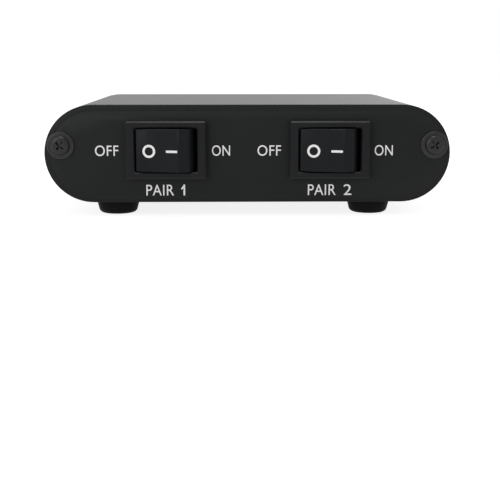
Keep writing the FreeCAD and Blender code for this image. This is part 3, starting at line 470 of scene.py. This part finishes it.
# %% Copy the screw to the four ends
screw_low, screw_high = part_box("panel_screws")
head_x, head_z = screw_high.x - HEAD_RADIUS, (screw_low.z + screw_high.z) / 2
plate_screws = []
for name, side, end, slant in (
    ("front_left", -1, -1, 38),
    ("front_right", 1, -1, 52),
    ("rear_left", -1, 1, 20),
    ("rear_right", 1, 1, 61),
):
    only(screw)
    bpy.ops.object.duplicate(linked=False)
    twin = bpy.context.active_object
    tip_y = screw_low.y if end < 0 else screw_high.y
    twin.rotation_euler = (math.radians(-90 * end), math.radians(slant), 0)
    twin.location = (side * head_x, tip_y - end * HEAD_HEIGHT, head_z)
    twin = settle(twin, f"plate_screw_{name}")
    plate_screws.append(twin)
    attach(twin, "case")
    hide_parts("panel_screws")
bpy.data.objects.remove(screw)
print("screws at x and z:", in_mm((head_x, head_z)), "mm")

# %% [markdown]
# ## A flat washer
#
# A washer is a stamped ring. A short cylinder has both its ends inset, the middles removed, and the
# two openings bridged to make the hole. Stamping rounds the rim a little.

# %% Model one washer and copy it
WASHER_RADIUS, WASHER_HOLE, WASHER_THICK = 3.5 * MM, 1.6 * MM, 0.5 * MM
WASHER_SOFT, WASHER_SIDES = 0.12 * MM, 72
RIM_SHARE = 0.99  # the rim's edges lie further out than this share of the radius


def open_middle(piece, stroke):
    """In edit mode, makes a disc that stands facing the front into a ring of this stroke."""
    choose(piece, "faces", lambda f: abs(f.normal.y) > FACING)
    bpy.ops.mesh.inset(thickness=stroke, use_individual=True)
    bpy.ops.mesh.delete(type="FACE")
    choose(piece, "edges", lambda e: e.is_boundary)
    bpy.ops.mesh.bridge_edge_loops()


washer_low, washer_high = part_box("panel_washers")
bpy.ops.object.select_all(action="DESELECT")
bpy.ops.mesh.primitive_cylinder_add(
    vertices=WASHER_SIDES,
    radius=WASHER_RADIUS,
    depth=WASHER_THICK,
    location=(washer_low.x + WASHER_RADIUS, washer_low.y + WASHER_THICK / 2, head_z),
    rotation=(math.radians(90), 0, 0),
)
washer = settle(bpy.context.active_object, "washer_front_left")
bpy.ops.object.mode_set(mode="EDIT")
open_middle(washer, WASHER_RADIUS - WASHER_HOLE)
rim = WASHER_RADIUS * RIM_SHARE
middle = washer_low.x + WASHER_RADIUS
choose(
    washer,
    "edges",
    lambda e: e.calc_face_angle(0) > SHARP
    and all(math.hypot(v.co.x - middle, v.co.z - head_z) > rim for v in e.verts),
)
bpy.ops.mesh.bevel(offset=WASHER_SOFT, segments=3)
bpy.ops.mesh.select_all(action="SELECT")
bpy.ops.mesh.normals_make_consistent(inside=False)
bpy.ops.object.mode_set(mode="OBJECT")
bpy.ops.object.shade_smooth_by_angle(angle=SHARP)
across = Vector((washer_high.x - washer_low.x - 2 * WASHER_RADIUS, 0, 0))
back = Vector((0, washer_high.y - washer_low.y - WASHER_THICK, 0))
washers = to_four_corners(washer, "washer", across, back)
for piece in washers:
    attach(piece, "case")
    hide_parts("panel_washers")
print("washer:", in_mm(washer.dimensions), "mm")

# %% [markdown]
# ## Printed words
#
# The words are screen-printed in white ink. A text object gives the letters, is made a mesh, and is
# stretched to the measured width and height. A hair of thickness keeps it above the paint.

# %% Print a word
INK = 0.015 * MM  # the print stands this far out of the paint, and as far in
LETTER_SPACING, CURVE_STEPS = 1.05, 6
LETTER_MERGE = 0.01 * MM
case_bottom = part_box("extruded_case")[0].z
front_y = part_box("front_panel")[0].y
rear_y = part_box("rear_panel")[1].y


def print_word(name, words, left, right, low, high, face_y, behind=False):
    """Prints words between two places across, in mm, and two heights above the case's bottom."""
    bpy.ops.object.select_all(action="DESELECT")
    bpy.ops.object.text_add(rotation=(math.radians(90), 0, math.radians(180 if behind else 0)))
    text = bpy.context.active_object
    text.data.body = words
    text.data.space_character = LETTER_SPACING
    text.data.resolution_u = CURVE_STEPS
    text.data.extrude = 0.5  # any depth will do, because the stretch sets it
    bpy.ops.object.convert(target="MESH")
    piece = settle(bpy.context.active_object, name)
    corners = [Vector(c) for c in piece.bound_box]
    start = Vector(min(c[i] for c in corners) for i in range(3))
    size = Vector(max(c[i] for c in corners) for i in range(3)) - start
    goal = Vector((left * MM, face_y - INK, case_bottom + low * MM))
    goal_size = Vector(((right - left) * MM, 2 * INK, (high - low) * MM))
    bpy.ops.object.mode_set(mode="EDIT")
    bpy.ops.mesh.select_all(action="SELECT")
    bpy.ops.mesh.remove_doubles(threshold=LETTER_MERGE)
    bpy.ops.transform.resize(
        value=[goal_size[i] / size[i] for i in range(3)], center_override=start
    )
    bpy.ops.transform.translate(value=goal - start)
    bpy.ops.object.mode_set(mode="OBJECT")
    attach(piece, "case")
    return piece


print("the plates' outer faces are at y", in_mm((front_y, rear_y)), "mm")

# %% [markdown]
# The real numeral 1 is an upright with a flag. A capital I gives the upright, and a short slanted
# bar is laid from its top and joined to it. The bar is a hair thinner than the upright, so their
# faces don't lie in one plane.

# %% Add the flag to a numeral 1
FLAG_THINNER = 0.98


def add_flag(word, top_x, top_z, wide, tall, stroke):
    """Joins a slanted bar to a word, down and to the left of a point, in mm."""
    angle = math.atan2(tall, wide)
    bpy.ops.object.select_all(action="DESELECT")
    bpy.ops.mesh.primitive_cube_add(size=1)
    flag = bpy.context.active_object
    flag.dimensions = (math.hypot(wide, tall) * MM, 2 * INK * FLAG_THINNER, stroke * MM)
    flag.rotation_euler = (0, -angle, 0)
    flag.location = (
        (top_x - wide / 2) * MM,
        front_y,
        case_bottom + (top_z - tall / 2) * MM,
    )
    settle(flag, "flag")
    only(word)
    flag.select_set(True)
    bpy.ops.object.join()
    print(f"{word.name}: flag joined, {len(word.data.polygons)} faces")

# %% Print the words in front
# Each line of print has its lower and its upper height, in mm above the case's bottom.
SWITCH_LINE, PAIR_LINE, MARK_LINE = (12.2, 14.95), (1.83, 4.67), (2.45, 5.35)
FRONT_WORDS = (
    ("word_off_1", "OFF", -39.77, -33.72, SWITCH_LINE),
    ("word_on_1", "ON", -9.37, -4.66, SWITCH_LINE),
    ("word_pair_1", "PAIR", -26.64, -19.4, PAIR_LINE),
    ("digit_1", "I", -16.92, -16.48, PAIR_LINE),
    ("word_off_2", "OFF", 2.49, 8.63, SWITCH_LINE),
    ("word_on_2", "ON", 33.14, 37.87, SWITCH_LINE),
    ("word_pair_2", "PAIR", 15.75, 23.1, PAIR_LINE),
    ("digit_2", "2", 25.14, 27.22, PAIR_LINE),
)
words = [
    print_word(name, text, left, right, *line, front_y)
    for name, text, left, right, line in FRONT_WORDS
]
digit_1 = words[3]
add_flag(digit_1, top_x=-16.6, top_z=4.6, wide=0.85, tall=1.15, stroke=0.36)
print("front words:", len(words))

# %% [markdown]
# Behind, each terminal block has four marks under it, one for each wire. Their left and right edges
# are given as they are seen from behind.

# %% Print the polarity marks behind
MARK_NAMES = {"R+": "right_plus", "R−": "right_minus", "L−": "left_minus", "L+": "left_plus"}
MARKS = {
    1: ((-40.16, -36.03), (-34.03, -29.87), (-27.92, -24.21), (-22.4, -18.59)),
    2: ((-10.73, -6.58), (-4.59, -0.52), (1.42, 5.2), (7.22, 10.7)),
    3: ((18.68, 22.84), (24.8, 28.98), (30.97, 34.76), (36.7, 40.54)),
}
for block, places in MARKS.items():
    for (left, right), (mark, word) in zip(places, MARK_NAMES.items()):
        # Seen from behind, left and right change places.
        words.append(
            print_word(f"mark_{block}_{word}", mark, -right, -left, *MARK_LINE, rear_y, True)
        )
print("words and marks:", len(words))

# %% [markdown]
# ## Marks on the rockers
#
# Each rocker carries a ring for off and a bar for on, printed in white. The rocker's face is
# slightly hollow and stands tilted at rest, so each mark is laid on the hollow and then turned with
# the rocker about its pivot.

# %% Lay a mark on a rocker
PIVOT_Y, PIVOT_Z, ROCKER_TILT = -36.3584 * MM, 17.6 * MM, math.radians(-12)
FACE, HALF_FACE, HOLLOW = 5.5, 6.75, 0.12  # the face's distance from the pivot, half width, hollow
MARK_DROP = 0.18  # the marks stand a little below the pivot's height
housing_box = {n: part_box(f"switch_{n}_housing") for n in SWITCHES}
pivots = {n: (low.x + high.x) / 2 for n, (low, high) in housing_box.items()}


def lay_on_rocker(piece, name, number, away):
    """Moves a mark built at the origin, facing forward, to its place on the tilted rocker."""
    depth = -FACE + HOLLOW * (1 - (away / HALF_FACE) ** 2)
    slope = math.atan(-2 * HOLLOW * away / HALF_FACE**2)
    sine, cosine = math.sin(ROCKER_TILT), math.cos(ROCKER_TILT)
    x, y = away * MM, depth * MM
    piece.rotation_euler = (0, 0, ROCKER_TILT + slope)
    piece.location = (
        pivots[number] + x * cosine - y * sine,
        PIVOT_Y + x * sine + y * cosine,
        PIVOT_Z - MARK_DROP * MM,
    )
    piece = settle(piece, name)
    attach(piece, f"switch_{number}_rocker")
    return piece


print("the rockers' pivots are at x", in_mm(pivots.values()), "mm")

# %% Make the ring and the bar for each rocker
RING_RADIUS, BAR_LENGTH, STROKE, BAR_ROUND = 1.7 * MM, 3.0 * MM, 0.6 * MM, 0.12 * MM
RING_OUT, BAR_OUT = -3.26, 2.8  # how far each mark stands from the pivot, in mm
RING_SIDES = 56
marks = []
for number in SWITCHES:
    bpy.ops.object.select_all(action="DESELECT")
    bpy.ops.mesh.primitive_cylinder_add(
        vertices=RING_SIDES, radius=RING_RADIUS, depth=2 * INK, rotation=(math.radians(90), 0, 0)
    )
    ring = settle(bpy.context.active_object, "ring")
    bpy.ops.object.mode_set(mode="EDIT")
    open_middle(ring, STROKE)
    bpy.ops.mesh.select_all(action="SELECT")
    bpy.ops.mesh.normals_make_consistent(inside=False)
    bpy.ops.object.mode_set(mode="OBJECT")
    marks.append(lay_on_rocker(ring, f"rocker_{number}_ring", number, RING_OUT))

    bpy.ops.mesh.primitive_cube_add(size=1)
    bar = bpy.context.active_object
    bar.dimensions = (BAR_LENGTH, 2 * INK, STROKE)
    bar = settle(bar, "bar")
    bpy.ops.object.mode_set(mode="EDIT")
    choose(bar, "edges", lambda e: abs(e.verts[0].co.y - e.verts[1].co.y) > INK)
    bpy.ops.mesh.bevel(offset=BAR_ROUND, segments=4)
    bpy.ops.object.mode_set(mode="OBJECT")
    marks.append(lay_on_rocker(bar, f"rocker_{number}_bar", number, BAR_OUT))
print("rocker marks:", len(marks))

# %% [markdown]
# # Finishes
#
# Each finish is a Principled shader fed by a few shared effects. The effects are node groups that
# give out only values: grain for the surface's fine relief, mottle for its uneven colour, wear
# where edges rub, and dust where faces look up.

# %% A small kit for wiring nodes
NOISE_ROUGHNESS = 0.55


def new_group(name, inputs, outputs):
    """Starts a node group whose inputs are name and default, and whose outputs are values."""
    group = bpy.data.node_groups.new(name, "ShaderNodeTree")
    for label, value in inputs:
        socket = group.interface.new_socket(label, in_out="INPUT", socket_type="NodeSocketFloat")
        socket.default_value = value
    for label in outputs:
        group.interface.new_socket(label, in_out="OUTPUT", socket_type="NodeSocketFloat")
    return group, group.nodes.new("NodeGroupInput"), group.nodes.new("NodeGroupOutput")


def add(tree, kind, **settings):
    """Adds a node of this kind and sets its properties."""
    node = tree.nodes.new("ShaderNode" + kind)
    for key, value in settings.items():
        setattr(node, key, value)
    return node


def sums(tree, operation, first, second, clamp=False):
    """A Math node on two sockets or numbers. Returns its result."""
    node = add(tree, "Math", operation=operation, use_clamp=clamp)
    for slot, value in enumerate((first, second)):
        if isinstance(value, bpy.types.NodeSocket):
            tree.links.new(value, node.inputs[slot])
        else:
            node.inputs[slot].default_value = value
    return node.outputs[0]


def noise(tree, scale, detail):
    """Noise on the object's own coordinates. The scale is a socket or a number, per metre."""
    node = add(tree, "TexNoise")
    tree.links.new(add(tree, "TexCoord").outputs["Object"], node.inputs["Vector"])
    if isinstance(scale, bpy.types.NodeSocket):
        tree.links.new(scale, node.inputs["Scale"])
    else:
        node.inputs["Scale"].default_value = scale
    node.inputs["Detail"].default_value = detail
    node.inputs["Roughness"].default_value = NOISE_ROUGHNESS
    return node.outputs["Fac"]


print("node kit ready")

# %% [markdown]
# Grain is the fine relief that paint and moulded plastic have. Two noises make it, a fine one and
# one five times as coarse, because a single size of grain looks like a printed pattern.

# %% Grain: the fine relief of paint or moulded plastic
METRE_IN_MM = 1000.0
FINE_SHARE, COARSE_SHARE, COARSER_BY = 0.7, 0.3, 5.0
grain, into, out = new_group("Fine grain", [("Size mm", 0.3)], ["Height"])
fine_scale = sums(grain, "DIVIDE", METRE_IN_MM, into.outputs["Size mm"])
fine = noise(grain, fine_scale, detail=3.0)
coarse = noise(grain, sums(grain, "DIVIDE", fine_scale, COARSER_BY), detail=2.0)
fine_part = sums(grain, "MULTIPLY", fine, FINE_SHARE)
coarse_part = sums(grain, "MULTIPLY", coarse, COARSE_SHARE)
grain.links.new(sums(grain, "ADD", fine_part, coarse_part), out.inputs["Height"])
print("grain nodes:", len(grain.nodes))

# %% [markdown]
# No coat is quite even in colour. Mottle is a slow noise round one half, stretched by the spread,
# and it later picks a colour between a dark and a pale one.

# %% Mottle: colour that isn't quite even
mottle, into, out = new_group("Mottle", [("Size mm", 12.0), ("Spread", 0.2)], ["Shade"])
patch_scale = sums(mottle, "DIVIDE", METRE_IN_MM, into.outputs["Size mm"])
patch = noise(mottle, patch_scale, detail=4.0)
centred = sums(mottle, "SUBTRACT", patch, 0.5)
mottle.links.new(
    sums(mottle, "ADD", sums(mottle, "MULTIPLY", centred, into.outputs["Spread"]), 0.5, True),
    out.inputs["Shade"],
)
print("mottle nodes:", len(mottle.nodes))

# %% [markdown]
# Hands and tools rub edges first. A Bevel node gives the normal that a rounder edge would have, and
# where it departs from the true normal there is an edge. Noise breaks the line up, as wear does.

# %% Wear: edges rubbed paler
WEAR_REACH = 0.25 * MM
WEAR_GAIN, WEAR_SCALE = 6.0, 900.0
wear, into, out = new_group("Edge wear", [("Amount", 1.0), ("Patchiness", 0.5)], ["Mask"])
rounded = add(wear, "Bevel", samples=4)
rounded.inputs["Radius"].default_value = WEAR_REACH
true_normal = add(wear, "NewGeometry").outputs["True Normal"]
facing = add(wear, "VectorMath", operation="DOT_PRODUCT")
wear.links.new(rounded.outputs["Normal"], facing.inputs[0])
wear.links.new(true_normal, facing.inputs[1])
departs = sums(wear, "SUBTRACT", 1.0, facing.outputs["Value"])
bent = sums(wear, "MULTIPLY", departs, WEAR_GAIN, True)
patchy = noise(wear, WEAR_SCALE, detail=3.0)
holes = sums(wear, "MULTIPLY", patchy, into.outputs["Patchiness"])
kept = sums(wear, "SUBTRACT", 1.0, holes, True)
wear.links.new(
    sums(wear, "MULTIPLY", sums(wear, "MULTIPLY", bent, kept), into.outputs["Amount"], True),
    out.inputs["Mask"],
)
print("wear nodes:", len(wear.nodes))

# %% [markdown]
# Dust settles on what looks up. The upward part of the normal, broken up by noise, gives its mask.

# %% Dust: a thin film on faces that look up
DUST_SCALE = 400.0
dust, into, out = new_group("Settled dust", [("Amount", 0.1)], ["Mask"])
upward = add(dust, "SeparateXYZ")
dust.links.new(add(dust, "NewGeometry").outputs["Normal"], upward.inputs[0])
lying = sums(dust, "MAXIMUM", upward.outputs["Z"], 0.0)
film = sums(dust, "MULTIPLY", lying, noise(dust, DUST_SCALE, detail=5.0))
dust.links.new(sums(dust, "MULTIPLY", film, into.outputs["Amount"], True), out.inputs["Mask"])
print("effects:", [g.name for g in bpy.data.node_groups])

# %% [markdown]
# ## One way to build a finish
#
# Two near colours are mixed by the mottle, and worn edges and dust are laid over. The grain's
# height feeds a bump and varies the roughness. What changes from finish to finish is only the
# values.

# %% Place an effect, and mix two colours
def use(tree, group, **values):
    """Places an effect in a material with its own values."""
    node = tree.nodes.new("ShaderNodeGroup")
    node.node_tree = group
    for key, value in values.items():
        node.inputs[key.replace("_", " ")].default_value = value
    return node


def mix(tree, share, under, over):
    """Mixes two colours, each a socket or three numbers, by a share."""
    # A Mix node for colours has its share at input 0, its colours at 6 and 7, its result at 2.
    node = add(tree, "Mix", data_type="RGBA")
    for key, value in ((0, share), (6, under), (7, over)):
        if isinstance(value, bpy.types.NodeSocket):
            tree.links.new(value, node.inputs[key])
        elif isinstance(value, (int, float)):
            node.inputs[key].default_value = value
        else:
            node.inputs[key].default_value = (*value, 1)
    return node.outputs[2]


print("colour tools ready")

# %% Build a finish from its values
SPREAD = 0.8  # how far the mottle goes from the middle colour towards the dark and the pale one
DUST_COLOUR = (0.5, 0.5, 0.48)
GRAIN_RANGE = (0.3, 0.7)  # the heights that most of the grain lies between


def finish(
    name,
    dark,
    pale,
    rough,
    specular,
    metal=0.0,
    grain_size=0.2,
    relief=0.006,
    patch_size=12.0,
    edge=None,
    edge_amount=0.4,
    dust_amount=0.0,
):
    """A material from two colours, a roughness range, and how its grain, edges and dust look.

    The sizes of the grain, of its relief and of the mottle's patches are in mm.
    """
    material = bpy.data.materials.new(name + "_finish")
    material.use_nodes = True
    tree = material.node_tree
    shader = tree.nodes["Principled BSDF"]
    shader.inputs["Metallic"].default_value = metal
    shader.inputs["Specular IOR Level"].default_value = specular
    shade = use(tree, mottle, Size_mm=patch_size, Spread=SPREAD).outputs["Shade"]
    colour = mix(tree, shade, dark, pale)
    height = use(tree, grain, Size_mm=grain_size).outputs["Height"]
    if edge:
        rubbed = use(tree, wear, Amount=edge_amount, Patchiness=0.5).outputs["Mask"]
        colour = mix(tree, rubbed, colour, edge)
    if dust_amount:
        film = use(tree, dust, Amount=dust_amount).outputs["Mask"]
        colour = mix(tree, film, colour, DUST_COLOUR)
    tree.links.new(colour, shader.inputs["Base Color"])
    span = add(tree, "MapRange")
    span.inputs["To Min"].default_value, span.inputs["To Max"].default_value = rough
    span.inputs["From Min"].default_value, span.inputs["From Max"].default_value = GRAIN_RANGE
    tree.links.new(height, span.inputs["Value"])
    tree.links.new(span.outputs["Result"], shader.inputs["Roughness"])
    bump = add(tree, "Bump")
    bump.inputs["Strength"].default_value = 1.0
    bump.inputs["Distance"].default_value = relief * MM
    tree.links.new(height, bump.inputs["Height"])
    tree.links.new(bump.outputs["Normal"], shader.inputs["Normal"])
    return material


print("finish builder ready")

# %% [markdown]
# The case is anodised or painted a satin black, a little dusty on top. The plates carry a smoother,
# less shiny coat. Screws and washers are blackened steel, and its edges are where the black goes
# first.

# %% Finishes of the case, plates and fasteners
case_coat = finish(
    "case_coat", (0.008, 0.008, 0.008), (0.014, 0.014, 0.0135), (0.4, 0.48), 0.5,
    grain_size=0.25, edge=(0.05, 0.05, 0.05), dust_amount=0.05,
)
panel_coat = finish(
    "panel_coat", (0.0105, 0.0111, 0.0117), (0.0152, 0.0162, 0.0161), (0.42, 0.5), 0.1,
    relief=0.008, edge=(0.03, 0.03, 0.03),
)
black_steel = finish(
    "black_steel", (0.004, 0.004, 0.0045), (0.012, 0.012, 0.0125), (0.22, 0.34), 0.3,
    grain_size=0.15, patch_size=1.0, edge=(0.14, 0.14, 0.14), edge_amount=0.8,
)
foot_rubber = finish(
    "foot_rubber", (0.0022, 0.0022, 0.0022), (0.0045, 0.0045, 0.0045), (0.6, 0.75), 0.1,
    relief=0.02, patch_size=3.0, dust_amount=0.02,
)
print("case finishes:", len(bpy.data.materials))

# %% [markdown]
# The switches are two blacks: a frame, and a rocker that is a shade bluer. Inside are nylon
# plungers, spring steel, copper blades, brass tabs and red wire.

# %% Finishes of the switches and what they hold
switch_frame_plastic = finish(
    "switch_frame_plastic", (0.006, 0.0063, 0.0072), (0.0095, 0.01, 0.011), (0.3, 0.38), 0.14,
    grain_size=0.18, patch_size=5.0, edge=(0.03, 0.03, 0.032),
)
rocker_plastic = finish(
    "rocker_plastic", (0.009, 0.0096, 0.0108), (0.0128, 0.0136, 0.0152), (0.3, 0.38), 0.08,
    grain_size=0.18, relief=0.005, patch_size=5.0, edge=(0.025, 0.026, 0.029),
)
plunger_nylon = finish(
    "plunger_nylon", (0.62, 0.6, 0.52), (0.74, 0.72, 0.65), (0.35, 0.45), 0.5,
    grain_size=0.3, relief=0.01, patch_size=2.0,
)
spring_steel = finish(
    "spring_steel", (0.42, 0.42, 0.43), (0.6, 0.6, 0.61), (0.2, 0.32), 0.5, 1.0,
    grain_size=0.1, relief=0.004, patch_size=1.0,
)
contact_copper = finish(
    "contact_copper", (0.62, 0.27, 0.14), (0.78, 0.38, 0.22), (0.22, 0.35), 0.5, 1.0,
    grain_size=0.12, relief=0.004, patch_size=1.5,
)
tab_brass = finish(
    "tab_brass", (0.6, 0.55, 0.42), (0.75, 0.7, 0.56), (0.25, 0.38), 0.5, 1.0,
    grain_size=0.12, relief=0.004, patch_size=1.5,
)
lead_insulation = finish(
    "lead_insulation", (0.32, 0.012, 0.01), (0.45, 0.02, 0.015), (0.3, 0.4), 0.5,
    grain_size=0.3, relief=0.01, patch_size=2.0,
)
print("with the switches:", len(bpy.data.materials))

# %% [markdown]
# The headers and plugs are the same green plastic, and their rounded edges catch far more light,
# so the edges get a pale green of their own, a painted highlight. Pins and contacts are tin plated,
# and the clamps are steel. The board that carries them is a dark green laminate, and the words are
# white ink.

# %% Finishes of the terminals, the board and the words
board_laminate = finish(
    "board_laminate", (0.008, 0.05, 0.015), (0.012, 0.09, 0.022), (0.25, 0.35), 0.5,
    grain_size=0.4, relief=0.01, patch_size=2.0,
)
terminal_green = finish(
    "terminal_green", (0.026, 0.105, 0.016), (0.038, 0.145, 0.026), (0.34, 0.42), 0.12,
    patch_size=4.0,
)
plug_green = finish(
    "plug_green", (0.025, 0.1, 0.016), (0.038, 0.142, 0.025), (0.3, 0.4), 0.12,
    patch_size=4.0,
)
# A painted highlight: a pale green for the rounded green edges, where they catch the light.
green_edge_highlight = finish(
    "green_edge_highlight", (0.24, 0.52, 0.18), (0.32, 0.62, 0.26), (0.26, 0.34), 0.5,
    relief=0.004, patch_size=3.0,
)
tinned_metal = finish(
    "tinned_metal", (0.7, 0.69, 0.67), (0.85, 0.84, 0.82), (0.22, 0.35), 0.5, 1.0,
    grain_size=0.12, relief=0.005, patch_size=1.0,
)
clamp_steel = finish(
    "clamp_steel", (0.5, 0.51, 0.53), (0.68, 0.69, 0.71), (0.25, 0.38), 0.5, 1.0,
    grain_size=0.12, relief=0.005, patch_size=1.0,
)
# The wire cages are the clamps' steel painted much darker, a painted shade for the shade inside the
# plug.
cage_steel_painted_shade = finish(
    "cage_steel_painted_shade", (0.05, 0.052, 0.054), (0.11, 0.113, 0.117), (0.4, 0.5), 0.5, 1.0,
    grain_size=0.12, relief=0.005, patch_size=1.0,
)
# The plug contacts' tin is darker than the pins' as painted shade, and further down it darkens with
# depth.
contact_tin_painted_shade = finish(
    "tinned_metal", (0.5, 0.49, 0.47), (0.72, 0.71, 0.69), (0.22, 0.35), 0.5, 1.0,
    grain_size=0.12, relief=0.005, patch_size=1.0,
)
white_ink = finish(
    "white_ink", (0.84, 0.84, 0.83), (0.92, 0.92, 0.91), (0.5, 0.6), 0.3,
    grain_size=0.15, relief=0.004, patch_size=1.5,
)
print("finishes:", len(bpy.data.materials))

# %% [markdown]
# A plug's contact is bright only at its lip, just behind the wire entry. Further in, its colour is
# painted darker with depth, a painted shade for the shade inside the plug. The depth is read from
# the piece's own coordinates.

# %% Paint shade on the contacts away from the entries
FULL_SHADE_FROM, NO_SHADE_FROM = 0.7 * MM, 0.4 * MM  # how far in from the lip
# The contact's colour deep inside the plug, a painted shade.
PAINTED_SHADE_TIN = (0.05, 0.05, 0.05)
lip_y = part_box("plug_2_contacts")[1].y
tree = contact_tin_painted_shade.node_tree
shader = tree.nodes["Principled BSDF"]
bright = shader.inputs["Base Color"].links[0].from_socket
split, depth = add(tree, "SeparateXYZ"), add(tree, "MapRange")
tree.links.new(add(tree, "TexCoord").outputs["Object"], split.inputs[0])
tree.links.new(split.outputs["Y"], depth.inputs["Value"])
depth.inputs["From Min"].default_value = lip_y - FULL_SHADE_FROM
depth.inputs["From Max"].default_value = lip_y - NO_SHADE_FROM
colour = mix(tree, depth.outputs["Result"], PAINTED_SHADE_TIN, bright)
tree.links.new(colour, shader.inputs["Base Color"])
print("contacts are bright past y", in_mm([lip_y - NO_SHADE_FROM]), "mm")

# %% [markdown]
# Every piece now gets its finish. A CAD node keeps its own material slot, and a piece made here
# gets the finish in its own slots.

# %% Give every piece its finish
def coat(material, *pieces, edges=None):
    """Puts this finish on each piece, and another on its edges if given."""
    for piece in pieces:
        if "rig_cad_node" in piece:
            piece.material_slots[0].material = material
        else:
            if edges:
                piece.data.materials[0] = material
                piece.data.materials[1] = edges
            else:
                piece.data.materials.clear()
                piece.data.materials.append(material)


nodes = frame["nodes"]
coat(case_coat, case_shell)
coat(panel_coat, front_plate, rear_plate)
coat(black_steel, *plate_screws, *washers)
coat(foot_rubber, *feet)
coat(switch_frame_plastic, *switch_frames)
coat(rocker_plastic, *rockers)
coat(terminal_green, *headers, edges=green_edge_highlight)
coat(plug_green, *plugs, edges=green_edge_highlight)
coat(white_ink, *words, *marks)
coat(board_laminate, nodes["circuit_board"])
for n in SWITCHES:
    coat(plunger_nylon, nodes[f"switch_{n}_plungers"])
    coat(spring_steel, nodes[f"switch_{n}_springs"])
    coat(contact_copper, nodes[f"switch_{n}_contact_blades"])
    coat(tab_brass, nodes[f"switch_{n}_terminals"])
    coat(lead_insulation, nodes[f"switch_{n}_leads"])
for n in BLOCKS:
    coat(tinned_metal, nodes[f"header_{n}_pins"])
    coat(contact_tin_painted_shade, nodes[f"plug_{n}_contacts"])
    for pole in POLES:
        coat(clamp_steel, nodes[f"plug_{n}_clamp_screw_{pole}"])
        coat(cage_steel_painted_shade, nodes[f"plug_{n}_wire_cage_{pole}"])
print("coated with", len(bpy.data.materials), "finishes")

# %% [markdown]
# # The studio
#
# The photograph is a cut-out on white. A pale floor and a pale sky do the same here: rays from the
# camera and mirror-like rays see white, while the object is lit by a softer, plain level. The floor
# still takes the object's shadow.

# %% Lay the floor
FLOOR_SIZE, FLOOR_DROP = 40, 0.05 * MM
FLOOR_LIT, FLOOR_SEEN, FLOOR_GLOW = (0.8, 0.8, 0.8, 1), (0.4, 0.4, 0.4, 1), 0.85


def rays_that_see(tree):
    """One where a ray comes from the camera, a mirror-like surface or glass, else zero."""
    path = add(tree, "LightPath").outputs
    share = sums(tree, "MAXIMUM", path["Is Camera Ray"], path["Is Glossy Ray"])
    return sums(tree, "MAXIMUM", share, path["Is Transmission Ray"])


bpy.ops.object.select_all(action="DESELECT")
bpy.ops.mesh.primitive_plane_add(size=FLOOR_SIZE, location=(0, 0, -FLOOR_DROP))
floor = bpy.context.active_object
floor.name = "studio_floor"
pale = bpy.data.materials.new("studio_white")
pale.use_nodes = True
tree = pale.node_tree
tree.nodes.remove(tree.nodes["Principled BSDF"])
plain, seen, glow = add(tree, "BsdfDiffuse"), add(tree, "BsdfDiffuse"), add(tree, "Emission")
plain.inputs["Color"].default_value = FLOOR_LIT
seen.inputs["Color"].default_value = FLOOR_SEEN
glow.inputs["Strength"].default_value = FLOOR_GLOW
both, either = add(tree, "AddShader"), add(tree, "MixShader")
tree.links.new(seen.outputs[0], both.inputs[0])
tree.links.new(glow.outputs[0], both.inputs[1])
tree.links.new(rays_that_see(tree), either.inputs[0])
tree.links.new(plain.outputs[0], either.inputs[1])
tree.links.new(both.outputs[0], either.inputs[2])
tree.links.new(either.outputs[0], tree.nodes["Material Output"].inputs[0])
floor.data.materials.append(pale)
print("floor is at z", in_mm([-FLOOR_DROP]), "mm")

# %% Hang the sky
SKY_LEVEL = 0.42
world = bpy.data.worlds.new("studio_sky")
bpy.context.scene.world = world
world.use_nodes = True
tree = world.node_tree
sky, white = tree.nodes["Background"], add(tree, "Background")
sky.inputs["Color"].default_value = (1, 1, 1, 1)
sky.inputs["Strength"].default_value = SKY_LEVEL
white.inputs["Color"].default_value = (1, 1, 1, 1)
either = add(tree, "MixShader")
tree.links.new(rays_that_see(tree), either.inputs[0])
tree.links.new(sky.outputs[0], either.inputs[1])
tree.links.new(white.outputs[0], either.inputs[2])
tree.links.new(either.outputs[0], tree.nodes["World Output"].inputs[0])
print("sky lights at", SKY_LEVEL, "and is seen as white")

# %% [markdown]
# ## Lamps
#
# One softbox hangs straight above and draws the light line along each upper edge. Two larger ones,
# one in front and one behind, fill the upright faces and leave no hard shadow.

# %% Hang the softboxes
AIM = Vector((0, 0, 16 * MM))  # about the middle of the object


def softbox(name, place, size, power):
    """A square area lamp at a place, looking at the object, in metres and watts."""
    bpy.ops.object.light_add(type="AREA", location=place)
    lamp = bpy.context.active_object
    lamp.name = name
    lamp.data.size = size
    lamp.data.energy = power
    lamp.rotation_mode = "QUATERNION"
    lamp.rotation_quaternion = (AIM - Vector(place)).to_track_quat("-Z", "Y")
    print(f"{name}: {power} W, {(AIM - Vector(place)).length:.2f} m away")


softbox("softbox_overhead", (0, 0, 0.62), size=0.3, power=1.5)
softbox("softbox_front_left", (-0.4, -0.5, 0.3), size=0.5, power=1.7)
softbox("softbox_back_right", (0.4, 0.5, 0.3), size=0.5, power=1.9)

# %% [markdown]
# ## The camera
#
# The camera stands where the photograph's did: about 26 cm in front of the plate, looking 11
# degrees down, with the front view in the upper half of a square frame. The numbers come from a fit
# of the case's outline.

# %% Place the camera
CAMERA_PLACE = (-4.462 * MM, -301.34 * MM, 42.18 * MM)
CAMERA_TURN = (math.radians(78.97), 0, math.radians(-1.09))
LENS, SENSOR, NEAREST = 72.55, 36, 0.01  # lens and sensor in mm, as Blender takes them
bpy.ops.object.camera_add(location=CAMERA_PLACE, rotation=CAMERA_TURN)
camera = bpy.context.active_object
camera.name = "product_camera"
camera.data.lens = LENS
camera.data.sensor_width = SENSOR
camera.data.clip_start = NEAREST
bpy.context.scene.camera = camera
bpy.context.scene.view_settings.view_transform = "Standard"
print("camera at", in_mm(camera.location), "mm")
